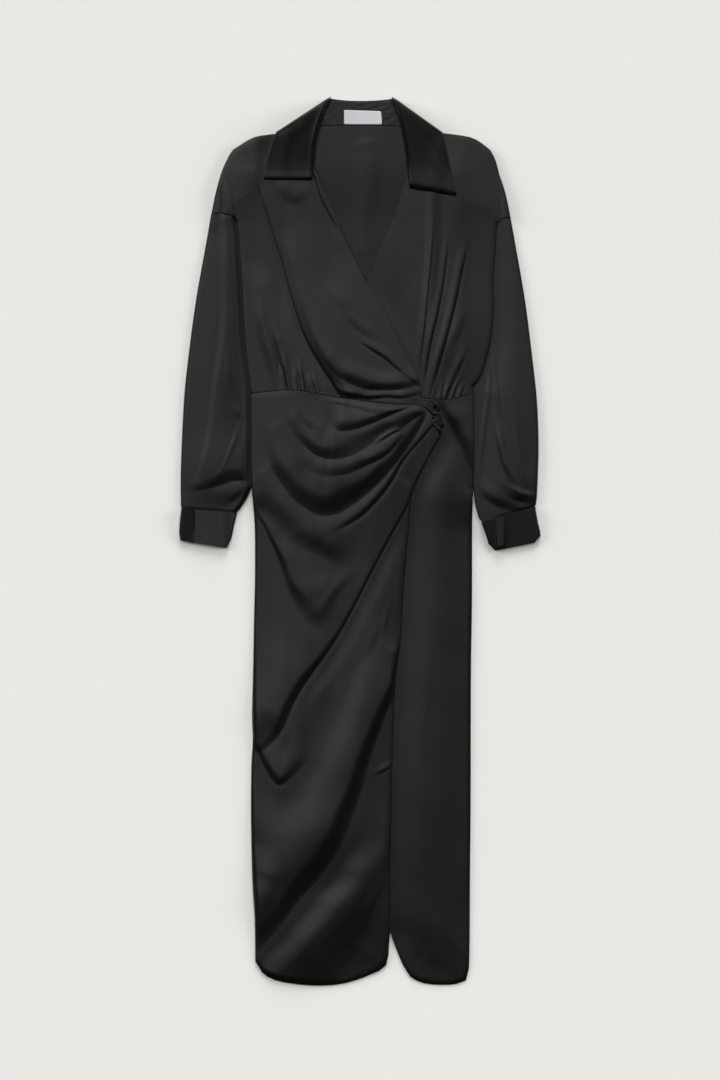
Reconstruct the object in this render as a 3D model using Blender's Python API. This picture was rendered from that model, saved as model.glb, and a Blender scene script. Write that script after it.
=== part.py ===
"""A long-sleeved satin wrap dress with a shirt collar, laid flat on its back.

Millimetres. x runs across the dress to the viewer's right, y from the hem to
the collar, z up from the surface that it lies on. Left and right are the
viewer's. Every piece of cloth is one closed solid of its own.
"""

from collections import namedtuple
from math import cos, pi, sin

import bpy
import numpy as np
from mathutils.geometry import delaunay_2d_cdt

MM = 0.001
CLOTH = 1.2          # one layer of satin
DOUBLE = 1.6         # collar, stand and cuffs: two layers and interlining
GAP = 0.3            # between layers and at seams
LAYER = CLOTH + GAP  # from one layer to the next
SEAM = 0.5           # between the edges of two panels sewn together

WAIST_LEFT, WAIST_RIGHT = (-164, 221.5), (171, 221.5)
KNOT_END = (121.5, 157.5)
MIDDLE = (-0.6, -0.9)  # of the whole dress: the origin of the finished part


# ---------------------------------------------------------------- lines

def curve(points, step=12.0):
    """Points about a step apart on a smooth line through the given ones."""
    p = np.array(points, float)
    ends = np.vstack([2 * p[0] - p[1], p, 2 * p[-1] - p[-2]])
    out = []
    for a, b, c, d in zip(ends, ends[1:], ends[2:], ends[3:]):
        count = max(1, int(round(np.linalg.norm(c - b) / step)))
        for t in np.arange(count) / count:
            out.append(0.5 * (2 * b + (c - a) * t + (2 * a - 5 * b + 4 * c - d) * t**2
                              + (3 * b - a - 3 * c + d) * t**3))
    return np.array(out + [p[-1]])


def even(line, count):
    """The line again, as count points evenly spaced along it."""
    run = np.concatenate([[0], np.cumsum(np.linalg.norm(np.diff(line, axis=0), axis=1))])
    at = np.linspace(0, run[-1], count)
    return np.stack([np.interp(at, run, line[:, k]) for k in range(line.shape[1])], axis=1)


def join(*lines):
    """One closed outline from lines that follow each other."""
    out = [np.array(line, float) for line in lines]
    points = np.vstack(out)
    keep = np.linalg.norm(points - np.roll(points, 1, axis=0), axis=1) > 0.8
    return points[keep]


def closed(outline):
    return np.vstack([outline, outline[:1]])


def beside(line, xy):
    """How far points are to the left of a line, and how far along it, 0 to 1."""
    a, ab = line[:-1], np.diff(line, axis=0)
    length = np.linalg.norm(ab, axis=1)
    run = np.concatenate([[0], np.cumsum(length)])
    ap = xy[:, None, :] - a[None]
    t = np.clip((ap * ab).sum(2) / length**2, 0, 1)
    off = ap - t[..., None] * ab
    far = np.hypot(off[..., 0], off[..., 1])
    k = far.argmin(1)
    row = np.arange(len(xy))
    side = ab[k, 0] * ap[row, k, 1] - ab[k, 1] * ap[row, k, 0]
    return np.where(side < 0, -1, 1) * far[row, k], (run[k] + t[row, k] * length[k]) / run[-1]


def inside(outline, xy):
    """Which points are inside a closed outline."""
    a, b = outline, np.roll(outline, -1, axis=0)
    x, y = xy[:, :1], xy[:, 1:]
    crosses = (a[:, 1] > y) != (b[:, 1] > y)
    rise = np.where(b[:, 1] == a[:, 1], 1, b[:, 1] - a[:, 1])
    at = a[:, 0] + (y - a[:, 1]) / rise * (b[:, 0] - a[:, 0])
    return (crosses & (x < at)).sum(1) % 2 == 1


def into(outline, xy):
    """How far points are inside a closed outline."""
    far = np.abs(beside(closed(outline), xy)[0])
    return np.where(inside(outline, xy), far, -far)


def ease(low, high, v):
    """0 up to low, 1 from high on, smooth between."""
    t = np.clip((np.asarray(v, float) - low) / (high - low), 0, 1)
    return t * t * (3 - 2 * t)


# ---------------------------------------------------------------- folds

# A fold's line is the middle of its steep side, and the crest is on the left
# of the line as it runs. The start and the end are the parts of the height
# that are left at the two ends.
Fold = namedtuple("Fold", "line high steep gentle start end")


def fold_height(fold, xy):
    off, along = beside(curve(fold.line, 10), xy)
    half = fold.steep / 2
    down = 0.5 + 0.5 * np.cos(pi * np.clip((off - half) / fold.steep, -1, 0))
    back = 0.5 + 0.5 * np.cos(pi * np.clip((off - half) / fold.gentle, 0, 1))
    size = (fold.start + (1 - fold.start) * ease(0, 0.3, along)) * (
        fold.end + (1 - fold.end) * ease(0, 0.3, 1 - along))
    return fold.high * size * np.where(off > half, back, down)


def fold_rows(fold, step, fine=True):
    """Rows of points along a fold: its foot, its crest, and half-way down."""
    line = even(curve(fold.line, 4), max(3, int(sum(
        np.linalg.norm(np.diff(curve(fold.line, 4), axis=0), axis=1)) / step) + 1))
    way = np.gradient(line, axis=0)
    left = np.stack([-way[:, 1], way[:, 0]], axis=1) / np.linalg.norm(way, axis=1)[:, None]
    offs = [-fold.steep / 2, fold.steep / 2] + ([fold.steep / 2 + fold.gentle * 0.55] if fine else [])
    return [line + left * off for off in offs]


def folded(folds, xy):
    return sum((fold_height(fold, xy) for fold in folds), np.zeros(len(xy)))


Gather = namedtuple("Gather", "x y long lean high wide")


def gather_folds(gathers):
    """Short ridges that fan up from a gathered seam."""
    return [Fold([(g.x, g.y), (g.x + g.lean * 0.5, g.y + g.long * 0.5), (g.x + g.lean, g.y + g.long)],
                 g.high, g.wide * 0.8, g.wide, 1.0, 0.0) for g in gathers]


# ---------------------------------------------------------------- solids

def solid(name, verts, faces):
    mesh = bpy.data.meshes.new(name)
    mesh.from_pydata([(MM * (x - MIDDLE[0]), MM * (y - MIDDLE[1]), MM * z) for x, y, z in verts], [], faces)
    mesh.validate()
    item = bpy.data.objects.new(name, mesh)
    bpy.context.collection.objects.link(item)
    return item


def panel(name, outline, height, pitch, rows=(), rim=5.0, thick=CLOTH):
    """Cloth within an outline, its underside at the height that the function gives."""
    spots = list(outline)

    def add(points, room):
        points = np.asarray(points, float)
        points = points[into(outline, points) > 2.6]
        for p in points:
            if np.min(np.linalg.norm(np.array(spots) - p, axis=1)) > room:
                spots.append(p)

    if rim:
        ring = closed(outline)
        way = np.gradient(ring, axis=0)
        out = np.stack([-way[:, 1], way[:, 0]], axis=1) / np.linalg.norm(way, axis=1)[:, None]
        for sign in (1, -1):
            add((ring + sign * rim * out)[:-1], 4.0)
    for row in rows:
        add(row, 3.2)
    low, high = outline.min(0), outline.max(0)
    lattice = [(x + (pitch / 2 if j % 2 else 0), y)
               for j, y in enumerate(np.arange(low[1], high[1], pitch * 0.87))
               for x in np.arange(low[0], high[0], pitch)]
    add(lattice, pitch * 0.5)
    count = len(outline)
    flat, _, faces, *_ = delaunay_2d_cdt(
        [tuple(p) for p in spots], [(i, (i + 1) % count) for i in range(count)], [], 1, 1e-4)
    xy = np.array([tuple(v) for v in flat])
    faces = np.array([list(f) for f in faces])
    a, b, c = (xy[faces[:, k]] for k in range(3))
    turn = (b[:, 0] - a[:, 0]) * (c[:, 1] - a[:, 1]) - (b[:, 1] - a[:, 1]) * (c[:, 0] - a[:, 0])
    faces[turn < 0] = faces[turn < 0][:, ::-1]
    low = np.column_stack([xy, height(xy)])
    # the cloth is as thick across its slopes as on the flat
    across = np.cross(low[faces[:, 1]] - low[faces[:, 0]], low[faces[:, 2]] - low[faces[:, 0]])
    normal = np.zeros_like(low)
    for k in range(3):
        np.add.at(normal, faces[:, k], across)
    up = normal[:, 2] / np.linalg.norm(normal, axis=1)
    top = low + np.column_stack([np.zeros((len(low), 2)), thick / np.clip(up, 0.6, 1)])
    n = len(xy)
    edges = {}
    for f in faces:
        for i, j in ((f[0], f[1]), (f[1], f[2]), (f[2], f[0])):
            edges[(int(i), int(j))] = True
    rim_edges = [(i, j) for i, j in edges if (j, i) not in edges]
    walls = [(i, j, j + n, i + n) for i, j in rim_edges]
    under = [tuple(int(i) for i in f[::-1]) for f in faces]
    over = [tuple(int(i) + n for i in f) for f in faces]
    return solid(name, np.vstack([low, top]), under + over + walls)


def loft(name, rings):
    """Closed rings of points joined end to end into one closed skin.

    The last ring joins the first: down the outside and back up the inside."""
    count = len(rings[0])
    verts = np.vstack(rings)
    faces = []
    for r in range(len(rings)):
        s = (r + 1) % len(rings)
        for i in range(count):
            j = (i + 1) % count
            faces.append((r * count + i, r * count + j, s * count + j, s * count + i))
    return solid(name, verts, faces)


def tube(name, left, right, top, stations, across, thick=CLOTH, crown=(0, 1, 0)):
    """A flattened tube of cloth between two side lines, flat underneath.

    The crown is where the upper end bulges up, how wide and how much."""
    left, right = even(left, stations), even(right, stations)
    span = np.concatenate([[0, 0.02], np.linspace(0, 1, across)[1:-1], [0.98, 1]])
    edge = (span == 0) | (span == 1)
    middle = thick + GAP / 2
    outer, inner = [], []
    for v, (a, b) in enumerate(zip(left, right)):
        wide = np.linalg.norm(b - a)
        at = a + span[:, None] * (b - a)
        shut = thick / wide
        within = a + (shut + (1 - 2 * shut) * span[:, None]) * (b - a)
        for place in (at, within):
            place[:, 1] += crown[2] * np.exp(-((place[:, 0] - crown[0]) / crown[1])**2) * max(0, 1 - v / 3)
        for ring, place, low, rise in ((outer, at, 0.0, 0.0), (inner, within, thick, -thick)):
            high = top(place) + rise
            low_z = np.where(edge, middle, low)
            high_z = np.where(edge, middle, high)
            under = np.column_stack([place, low_z])
            over = np.column_stack([place, high_z])[1:-1][::-1]
            ring.append(np.vstack([under, over]))
    return loft(name, outer + inner[::-1])


# ---------------------------------------------------------------- outlines

# The waist seam, from side to side of each front.
OVER_WAIST = curve([WAIST_LEFT, (-112.5, 226), (-90, 225), (-45, 217), (-15, 213), (37.5, 206.3), (93, 204)])
UNDER_WAIST = curve([(-43.5, 216), (20, 215), (96, 214), (120, 211.5), (144, 214.5), WAIST_RIGHT])

# Sides of the bodice: the fold that lies over each sleeve, from the waist up.
LEFT_FOLD = curve([WAIST_LEFT, (-172.5, 295), (-177.8, 385), (-183, 460), (-187.5, 488.5)])
RIGHT_FOLD = curve([WAIST_RIGHT, (169.5, 231), (176, 237), (184.5, 253), (190, 273), (196, 296), (199.5, 325),
                    (201, 351), (200, 390), (203, 425), (206, 475), (213, 486.3)])

# Shoulders, from the dropped shoulder seam up to the neck.
LEFT_DROP = curve([(-187.5, 488.5), (-201, 492), (-210, 494.3), (-222.8, 491.5)])
RIGHT_DROP = curve([(213, 486.3), (225.8, 486)])
LEFT_SHOULDER = curve([(-222.8, 491.5), (-216, 523.5), (-208.5, 550.5), (-201, 568.5), (-190.5, 586.5),
                       (-175.5, 595.5), (-157.5, 604.5), (-126, 607), (-90, 613), (-56, 618)])
RIGHT_SHOULDER = curve([(225.8, 486), (217.5, 523.5), (208.5, 550.5), (204, 568.5), (195, 586.5),
                        (183, 595.5), (165, 604.5), (124, 607), (90, 613), (57, 618)])

# Front edges from the neck to the waist. The under front's edge goes on under
# the over front.
OVER_NECK = curve([(-56, 618), (-70, 596), (-73.5, 572)])
OVER_EDGE = curve([(-73.5, 572), (-66.5, 558), (-55.5, 534), (-38.6, 497), (-26, 463.5), (-16.5, 439.5), (9, 391.5),
                   (34.5, 349.5), (64.5, 291), (85.5, 250.5), (91.5, 225), (93, 204)])
UNDER_NECK = curve([(57, 618), (73, 590), (76, 560)])
UNDER_EDGE = curve([(76, 560), (66, 534), (53, 491), (31.5, 440), (11.3, 389), (-15, 331), (-33, 271), (-43.5, 216)])

# Sleeves: the outer line, and the inner line, most of it under the body.
LEFT_SLEEVE_OUT = curve([(-223.2, 491), (-230, 451), (-246, 361.5), (-258, 271.5), (-264, 211.5), (-268, 130),
                         (-269, 90), (-268.5, 46.3)])
LEFT_SLEEVE_IN = curve([(-147, 485), (-150, 420), (-154, 340), (-157, 270), (-158, 220), (-158, 110), (-161, 84),
                        (-168, 67.5), (-177.8, 51), (-185, 41)])
RIGHT_SLEEVE_OUT = curve([(225.8, 485.3), (232, 451), (247.5, 361.5), (259, 271.5), (265.5, 211.5), (268, 150),
                          (267, 100), (265, 62), (263.1, 49.8)])
RIGHT_SLEEVE_IN = curve([(153, 485.8), (158, 420), (162, 340), (165, 270), (166, 220), (166, 110), (169, 86),
                         (173, 55), (178.5, 35), (183, 26)])

# Cuffs, from the sleeve to the hand.
LEFT_CUFF_OUT = curve([(-268.5, 45.6), (-270.8, 25), (-271.5, 13.5), (-269.4, 0.8)])
LEFT_CUFF_IN = curve([(-185.3, 39.9), (-189, 22), (-192.9, 3.6), (-199.5, -9.9)])
RIGHT_CUFF_IN = curve([(183, 24.8), (188, 10), (193, -5), (202.5, -14.3)])
RIGHT_CUFF_OUT = curve([(263.1, 48.9), (267, 28), (271, 8), (262, -2.7)])

# The skirt. The over skirt's free edge runs from the knot to the hem.
OVER_SIDE = curve([(-157, -630), (-158, -565), (-161.5, -510), (-163.5, -420), (-163, -340), (-160.8, -298),
                   (-162, -260), (-160.5, -200), (-159, -120), (-157.5, -50), (-158, 25), (-161.5, 70), (-163.5, 110),
                   WAIST_LEFT], 15)
OVER_HEM = curve([(45, -583), (43.5, -605), (39, -636), (13.5, -651), (-22.5, -663), (-57, -666.5), (-95, -664.5),
                  (-127.5, -658.5), (-147, -647), (-157, -630)], 14)
OVER_FREE = curve([KNOT_END, (102, 123), (81, 80), (75.5, 50), (73.5, 18), (69, -30), (64.5, -88.5), (61.5, -145.5),
                   (54, -202.5), (50, -280), (48, -357), (46.5, -433.5), (45, -510), (45, -583)], 15)
KNOT_LINE = curve([(93, 204), (108, 190), (113.5, 177), KNOT_END], 9)
UNDER_SIDE = curve([WAIST_RIGHT, (171, 110), (168.5, 45), (168, -90), (166.5, -200), (166, -400), (165, -510),
                    (164.5, -600), (163.5, -640)], 24)
UNDER_HEM = curve([(163.5, -640), (159, -658.5), (145, -664), (123, -665.5), (96, -663), (75, -653), (64.5, -636),
                   (53, -608), (45.5, -586)], 14)
UNDER_FREE = curve([(45.5, -586), (22, -508), (3, -358), (-15, -163), (-30, 31), (-43.5, 215)], 30)
BACK_HEM = curve([(-147, -621), (-80, -588), (0, -573), (85, -590), (157, -621)], 20)
BACK_LEFT = curve([(-151, 220), (-151, 100), (-149, -50), (-151, -200), (-153, -400), (-150, -560), (-147, -621)], 30)
BACK_RIGHT = curve([(157, -621), (157, -500), (158, -300), (159, -50), (159, 100), (159, 220)], 30)

OUTLINES = {
    "over_bodice": join(OVER_WAIST[::-1], LEFT_FOLD[1:], LEFT_DROP[1:], LEFT_SHOULDER[1:], OVER_NECK[1:],
                        OVER_EDGE[1:-1]),
    "under_bodice": join(UNDER_WAIST, RIGHT_FOLD[1:], RIGHT_DROP[1:], RIGHT_SHOULDER[1:], UNDER_NECK[1:],
                         UNDER_EDGE[1:-1]),
    "over_skirt": join(OVER_WAIST, KNOT_LINE[1:], OVER_FREE[1:], OVER_HEM[1:], OVER_SIDE[1:-1]),
    "under_skirt": join(UNDER_WAIST, UNDER_SIDE[1:], UNDER_HEM[1:], UNDER_FREE[1:-1]),
    "back_skirt": join([(-151, 220), (0, 218), (159, 220)], BACK_RIGHT[::-1][1:], BACK_HEM[::-1][1:],
                       BACK_LEFT[::-1][1:-1]),
    "back_bodice": join([(-151, 221), (0, 219), (159, 221)], [(156, 340), (151, 420), (146, 488)], [(190, 491)],
                        [(224, 489)], RIGHT_SHOULDER[2:-3], [(120, 604), (90, 610), (56, 614)],
                        [(40, 621), (0, 622), (-40, 621)], [(-55, 614), (-90, 610), (-122, 604)],
                        LEFT_SHOULDER[::-1][4:-2], [(-220.5, 494)], [(-190, 492)],
                        [(-140, 489), (-143, 420), (-147, 340)]),
}


# ---------------------------------------------------------------- folds of each piece

OVER_SKIRT_FOLDS = [
    Fold([(-46, 213), (-18, 206), (9, 198), (36, 190)], 3, 7, 8, 0.2, 0.5),
    Fold([(-54, 192), (-41, 174), (-22, 165), (2, 168), (36, 180), (88, 200)], 8, 9, 14, 0.2, 0.5),
    Fold([(-84, 184), (-76, 174), (-70, 168)], 4, 9, 12, 0.1, 0.1),
    Fold([(-96, 160), (-66, 136), (-46, 126), (-12, 140), (22, 159), (58, 176), (94, 188)], 13, 14, 22, 0.1, 0.5),
    Fold([(30, 149), (44, 158), (59, 165)], 3, 5, 6, 0.2, 0.2),
    Fold([(-66, 104), (-32, 101), (2, 113), (36, 128), (57, 147)], 6, 10, 14, 0.1, 0.3),
    Fold([(-127, 123), (-115, 104), (-88, 75), (-66, 48), (-36, 54), (2, 75), (36, 100), (57, 124), (76, 158),
          (100, 182)], 11, 13, 22, 0.1, 0.4),
    Fold([(-36, 13), (-12, 30), (18, 53), (42, 82), (62, 120), (104, 172)], 5, 7, 12, 0.1, 0.5),
    Fold([(-160, 94), (-142, 58), (-112, 27), (-84, -4), (-56, -16), (-27, -33)], 8, 18, 26, 0.3, 0.1),
    Fold([(-157, 42), (-140, 22), (-123, -21), (-108, -54), (-90, -90), (-72, -117), (-60, -134)], 7, 14, 24, 0.2, 0.1),
    Fold([(-151, -234), (-138, -276), (-118, -283), (-96, -240), (-66, -192)], 7, 14, 30, 0.3, 0.1),
    Fold([(-80, -212), (-46, -161), (-18, -114), (12, -58), (34, -14), (58, 30), (78, 68)], 4, 6, 34, 0.2, 0.4),
    Fold([(-146, -609), (-108, -567), (-74, -518), (-39, -459), (-15, -407), (3, -357), (19, -303), (34, -261),
          (50, -229)], 8, 16, 60, 0.2, 0.2),
    Fold([(37, -390), (20, -432), (0, -486), (-34, -540), (-76, -597), (-105, -636)], 5, 20, 40, 0.1, 0.3),
    Fold([(-159, -249), (-153, -313), (-138, -348), (-118, -372), (-99, -352)], 5, 13, 26, 0.1, 0.1),
    Fold([(-153, -490), (-130, -547)], 4, 18, 30, 0.1, 0.1),
    Fold([(12, -590), (22, -540), (37, -510)], 2, 7, 14, 0.1, 0.1),
]

UNDER_SKIRT_FOLDS = [
    Fold([(120, 196), (142, 165), (154, 136), (165, 104)], 5, 14, 14, 0.2, 0.2),
    Fold([(160, 80), (143, 118), (130, 151), (124, 172)], 4, 14, 50, 0.2, 0.2),
]

OVER_BODICE_FOLDS = [
    Fold([(-172, 589), (-157, 556), (-139, 490), (-121, 433), (-106, 390), (-93, 339), (-70, 291), (-45, 250),
          (-34, 226)], 7, 8, 42, 0.1, 0.6),
    Fold([(-106, 245), (-118, 290), (-131, 330), (-142, 372)], 3, 12, 18, 0.3, 0.0),
    Fold([(1, 306), (27, 281), (57, 258), (78, 250)], 4, 7, 15, 0.1, 0.3),
    Fold([(-37, 382), (-20, 356), (-2, 327)], 2.5, 12, 18, 0.1, 0.1),
    Fold([(-38, 260), (-16, 248), (13, 237), (50, 237), (82, 243)], 7, 10, 20, 0.3, 0.4),
    Fold([(-30, 226), (16, 219), (54, 221), (82, 222)], 4.5, 7, 9, 0.3, 0.3),
    Fold([(-187, 489), (-190, 516), (-195, 576)], 3, 6, 34, 1.0, 0.0),
]

UNDER_BODICE_FOLDS = [
    Fold([(112, 517), (108, 451), (103, 400), (99, 350), (95, 294), (99, 240)], 4, 5, 11, 0.1, 0.6),
    Fold([(129, 441), (121, 385), (111, 327), (105, 287), (103, 240)], 4, 5, 15, 0.1, 0.6),
    Fold([(162, 444), (147, 385), (136, 327), (118, 270), (111, 232)], 5, 6, 26, 0.1, 0.5),
    Fold([(147, 258), (133, 227)], 2.5, 5, 9, 0.1, 0.5),
    Fold([(199, 574), (211, 523), (213, 488)], 3, 6, 34, 0.0, 1.0),
]

OVER_GATHERS = [
    Gather(-111, 229, 34, -5, 2.0, 4.5), Gather(-102, 229, 52, -10, 3.0, 4.5), Gather(-91, 228, 30, -3, 2.2, 5.0),
    Gather(-80, 226, 46, -7, 3.4, 5.0), Gather(-68, 223, 26, -5, 2.4, 4.5), Gather(-57, 221, 30, -10, 2.6, 4.5),
]
UNDER_GATHERS = [
    Gather(112, 215, 24, 2, 2.4, 4.2), Gather(122, 215, 34, 6, 2.2, 4.2), Gather(131, 216, 26, 6, 2.6, 4.2),
    Gather(141, 217, 30, 9, 2.0, 4.2), Gather(152, 219, 18, 5, 2.0, 4.2),
]

LEFT_SLEEVE_FOLDS = [
    Fold([(-207, 470), (-203, 420), (-200, 384), (-203, 330), (-210, 277), (-219, 222), (-228, 170), (-234, 130),
          (-244, 98)], 3, 16, 16, 0.1, 0.1),
    Fold([(-165, 96), (-193, 97), (-218, 90)], 5, 10, 16, 0.2, 0.1),
    Fold([(-206, 118), (-196, 148), (-187, 176)], 2.5, 8, 10, 0.1, 0.1),
]
RIGHT_SLEEVE_FOLDS = [
    Fold([(196, 241), (199, 210), (201, 180)], 3, 6, 14, 0.3, 0.1),
    Fold([(207, 149), (219, 116), (227, 81)], 3, 6, 12, 0.1, 0.3),
    Fold([(230, 195), (231, 149), (241, 107), (253, 61)], 3, 6, 16, 0.1, 0.3),
    Fold([(174, 82), (194, 63), (220, 46)], 4, 10, 16, 0.2, 0.2),
]


# ---------------------------------------------------------------- heights

def neck_rise(xy):
    """The back of the bodice lies over the collar's back part."""
    return (DOUBLE + GAP) * ease(548, 570, xy[:, 1]) * ease(-168, -148, xy[:, 0]) * ease(-165, -145, -xy[:, 0])


def over_sleeve(xy, line, to_left, low, high):
    """The body's sides lie over the inner edges of the sleeves."""
    off = beside(line, xy)[0] * (1 if to_left else -1)
    reach = ease(low - 20, low, xy[:, 1]) * ease(-high - 20, -high, -xy[:, 1])
    return (2 * CLOTH + 2 * GAP - LAYER + 0.3) * ease(-12, -3, off) * reach


LEFT_TUCK = LEFT_SLEEVE_IN[::-1]
RIGHT_TUCK = RIGHT_SLEEVE_IN[::-1]


def back_bodice(xy):
    return neck_rise(xy)


def front_base(xy):
    return LAYER + neck_rise(xy) + over_sleeve(xy, LEFT_TUCK, True, 75, 488) + over_sleeve(
        xy, RIGHT_TUCK, False, 75, 486)


def under_bodice(xy):
    clear = -beside(OVER_EDGE[::-1], xy)[0]
    body = into(OUTLINES["under_bodice"], xy)
    neck = ease(560, 600, xy[:, 1]) * ease(-160, -130, -xy[:, 0])
    puff = 4.5 * ease(2, 30, body) * (1 - neck)
    raised = folded(UNDER_BODICE_FOLDS + gather_folds(UNDER_GATHERS), xy)
    return front_base(xy) + ease(4, 26, clear) * (puff + raised)


def over_bodice(xy):
    on_under = beside(UNDER_EDGE, xy)[0]
    body = into(OUTLINES["over_bodice"], xy)
    neck = ease(560, 600, xy[:, 1]) * ease(-160, -130, xy[:, 0])
    puff = 4.5 * ease(2, 30, body) * (1 - neck)
    raised = folded(OVER_BODICE_FOLDS + gather_folds(OVER_GATHERS), xy)
    return front_base(xy) + LAYER * ease(-18, -6, on_under) + puff + raised


def skirt_base(xy):
    """Over the back skirt, down to the floor past its hem and round its sides."""
    on_back = into(OUTLINES["back_skirt"], xy)
    side = np.minimum(xy[:, 0] - np.interp(xy[:, 1], OVER_SIDE[:, 1], OVER_SIDE[:, 0]),
                      np.interp(xy[:, 1], UNDER_SIDE[::-1, 1], UNDER_SIDE[::-1, 0]) - xy[:, 0])
    sleeve = ease(50, 66, xy[:, 1])
    lying = LAYER * np.where(xy[:, 1] < -560, ease(-24, -6, on_back), ease(-0.5, 4.5, side))
    lying = lying + (LAYER - lying) * sleeve
    return lying + over_sleeve(xy, LEFT_TUCK, True, 75, 488) + over_sleeve(xy, RIGHT_TUCK, False, 75, 486)


def under_skirt(xy):
    clear = beside(OVER_FREE, xy)[0]
    knot = np.hypot(xy[:, 0] - 108, xy[:, 1] - 182)
    body = into(OUTLINES["under_skirt"], xy)
    return skirt_base(xy) + ease(5, 30, clear) * ease(14, 30, knot) * (
        3.0 * ease(0, 30, body) + folded(UNDER_SKIRT_FOLDS, xy))


def over_skirt(xy):
    on_under = beside(UNDER_FREE, xy)[0] * -1
    body = into(OUTLINES["over_skirt"], xy)
    at_knot = np.abs(beside(KNOT_LINE, xy)[0])
    raised = 4.0 * ease(0, 34, body) + folded(OVER_SKIRT_FOLDS, xy) * ease(-3, 9, body)
    return skirt_base(xy) + LAYER * ease(-20, -7, on_under) + raised * ease(7, 26, at_knot)


def sleeve_top(cover, outer, folds, side):
    def top(xy):
        free = beside(cover, xy)[0] * side
        rim = beside(outer, xy)[0] * side
        puff = 7.0 * ease(3, 30, free) * ease(0, 22, rim)
        return 2 * CLOTH + GAP + puff + folded(folds, xy) * ease(2, 18, free) * ease(2, 14, rim)
    return top


# ---------------------------------------------------------------- the pieces

def rows_of(folds, step):
    """Rows for folds: closer together the narrower the fold."""
    return [row for fold in folds for row in fold_rows(fold, step + 0.5 * fold.steep)]


def gather_rows(gathers):
    return [row for fold in gather_folds(gathers) for row in fold_rows(fold, 14, fine=False)]


def rows_beside(line, *offs):
    """Rows of points a little to the left of a line, or to the right if negative."""
    way = np.gradient(line, axis=0)
    left = np.stack([-way[:, 1], way[:, 0]], axis=1) / np.linalg.norm(way, axis=1)[:, None]
    return [line + left * off for off in offs]


HEM_ROWS = rows_beside(BACK_HEM, -2, -14, -26)  # where the fronts come down past the back skirt's hem


panel("back_skirt", OUTLINES["back_skirt"], lambda xy: np.zeros(len(xy)), 90, rim=0)
panel("back_bodice", OUTLINES["back_bodice"], back_bodice, 60,
      [[(x, y) for x in np.arange(-190, 195, 22)] for y in (546, 558, 571, 590)], rim=0)
panel("under_bodice", OUTLINES["under_bodice"], under_bodice, 30,
      rows_beside(OVER_EDGE, -3, 4) + rows_of(UNDER_BODICE_FOLDS, 15) + gather_rows(UNDER_GATHERS))
panel("over_bodice", OUTLINES["over_bodice"], over_bodice, 28,
      rows_beside(UNDER_EDGE, -5, -19) + rows_of(OVER_BODICE_FOLDS, 11) + gather_rows(OVER_GATHERS))
panel("under_skirt", OUTLINES["under_skirt"] - (0, SEAM), under_skirt, 42,
      rows_beside(OVER_FREE, -3, 5, 18) + rows_of(UNDER_SKIRT_FOLDS, 8) + HEM_ROWS)
panel("over_skirt", OUTLINES["over_skirt"] - (0, SEAM), over_skirt, 30,
      rows_beside(UNDER_FREE, 6, 21) + rows_of(OVER_SKIRT_FOLDS, 7) + HEM_ROWS)

LEFT_COVER = join(OVER_SIDE[:-1][OVER_SIDE[:-1, 1] > 75], LEFT_FOLD)
LEFT_COVER = np.vstack([LEFT_SLEEVE_IN[LEFT_SLEEVE_IN[:, 1] < 80][::-1], LEFT_COVER])
RIGHT_COVER = np.vstack([RIGHT_SLEEVE_IN[RIGHT_SLEEVE_IN[:, 1] < 80][::-1],
                         UNDER_SIDE[UNDER_SIDE[:, 1] > 80][::-1], RIGHT_FOLD[1:]])
tube("left_sleeve", LEFT_SLEEVE_OUT, LEFT_SLEEVE_IN,
     sleeve_top(LEFT_COVER, LEFT_SLEEVE_OUT, LEFT_SLEEVE_FOLDS, 1), 28, 11, crown=(-206.5, 9.5, 3.0))
tube("right_sleeve", RIGHT_SLEEVE_IN, RIGHT_SLEEVE_OUT,
     sleeve_top(RIGHT_COVER, RIGHT_SLEEVE_OUT, RIGHT_SLEEVE_FOLDS, -1), 28, 11)


def cuff_top(xy):
    return np.full(len(xy), 2 * DOUBLE + GAP + 0.6)


tube("left_cuff", LEFT_CUFF_OUT, LEFT_CUFF_IN, cuff_top, 6, 6, DOUBLE)
tube("right_cuff", RIGHT_CUFF_IN, RIGHT_CUFF_OUT, cuff_top, 6, 6, DOUBLE)


# The collar fall, a row for each of its sections: where it leaves the roll, and
# its outer edge. The first and last rows are the lower edges of its points.
Section = namedtuple("Section", "roll_x roll_y edge_x edge_y")
LEFT_POINT = [
    Section(-71.5, 543.5, -144.0, 543.5),
    Section(-70.0, 556.0, -141.5, 556.0),
    Section(-68.0, 574.0, -137.5, 572.0),
    Section(-65.0, 602.0, -131.5, 591.0),
    Section(-58.0, 629.0, -127.5, 603.0),
    Section(-49.0, 652.0, -125.5, 608.5),
]
RIGHT_POINT = [
    Section(74.0, 533.5, 144.0, 521.0),
    Section(72.5, 548.0, 140.0, 539.0),
    Section(71.0, 564.0, 135.5, 559.0),
    Section(67.0, 594.0, 129.0, 587.0),
    Section(60.0, 628.0, 125.5, 602.0),
    Section(52.0, 652.0, 123.5, 608.0),
]
BACK_LEAF = [
    Section(-34.0, 662.0, -112.0, 601.0),
    Section(-18.0, 660.5, -75.0, 591.0),
    Section(2.0, 660.0, 0.0, 586.0),
    Section(22.0, 660.5, 75.0, 591.0),
    Section(40.0, 662.0, 110.0, 601.0),
]
LEFT_FLANK = Section(-45.0, 664.5, -126.0, 611.8)
RIGHT_FLANK = Section(49.0, 664.5, 123.5, 611.8)
ROLL = 8.0           # how high the roll stands above what it lies on
TURN = 2.45          # radius of the collar's turn round the sides of the neck


def ends(section):
    return np.array([section.roll_x, section.roll_y]), np.array([section.edge_x, section.edge_y])


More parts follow.
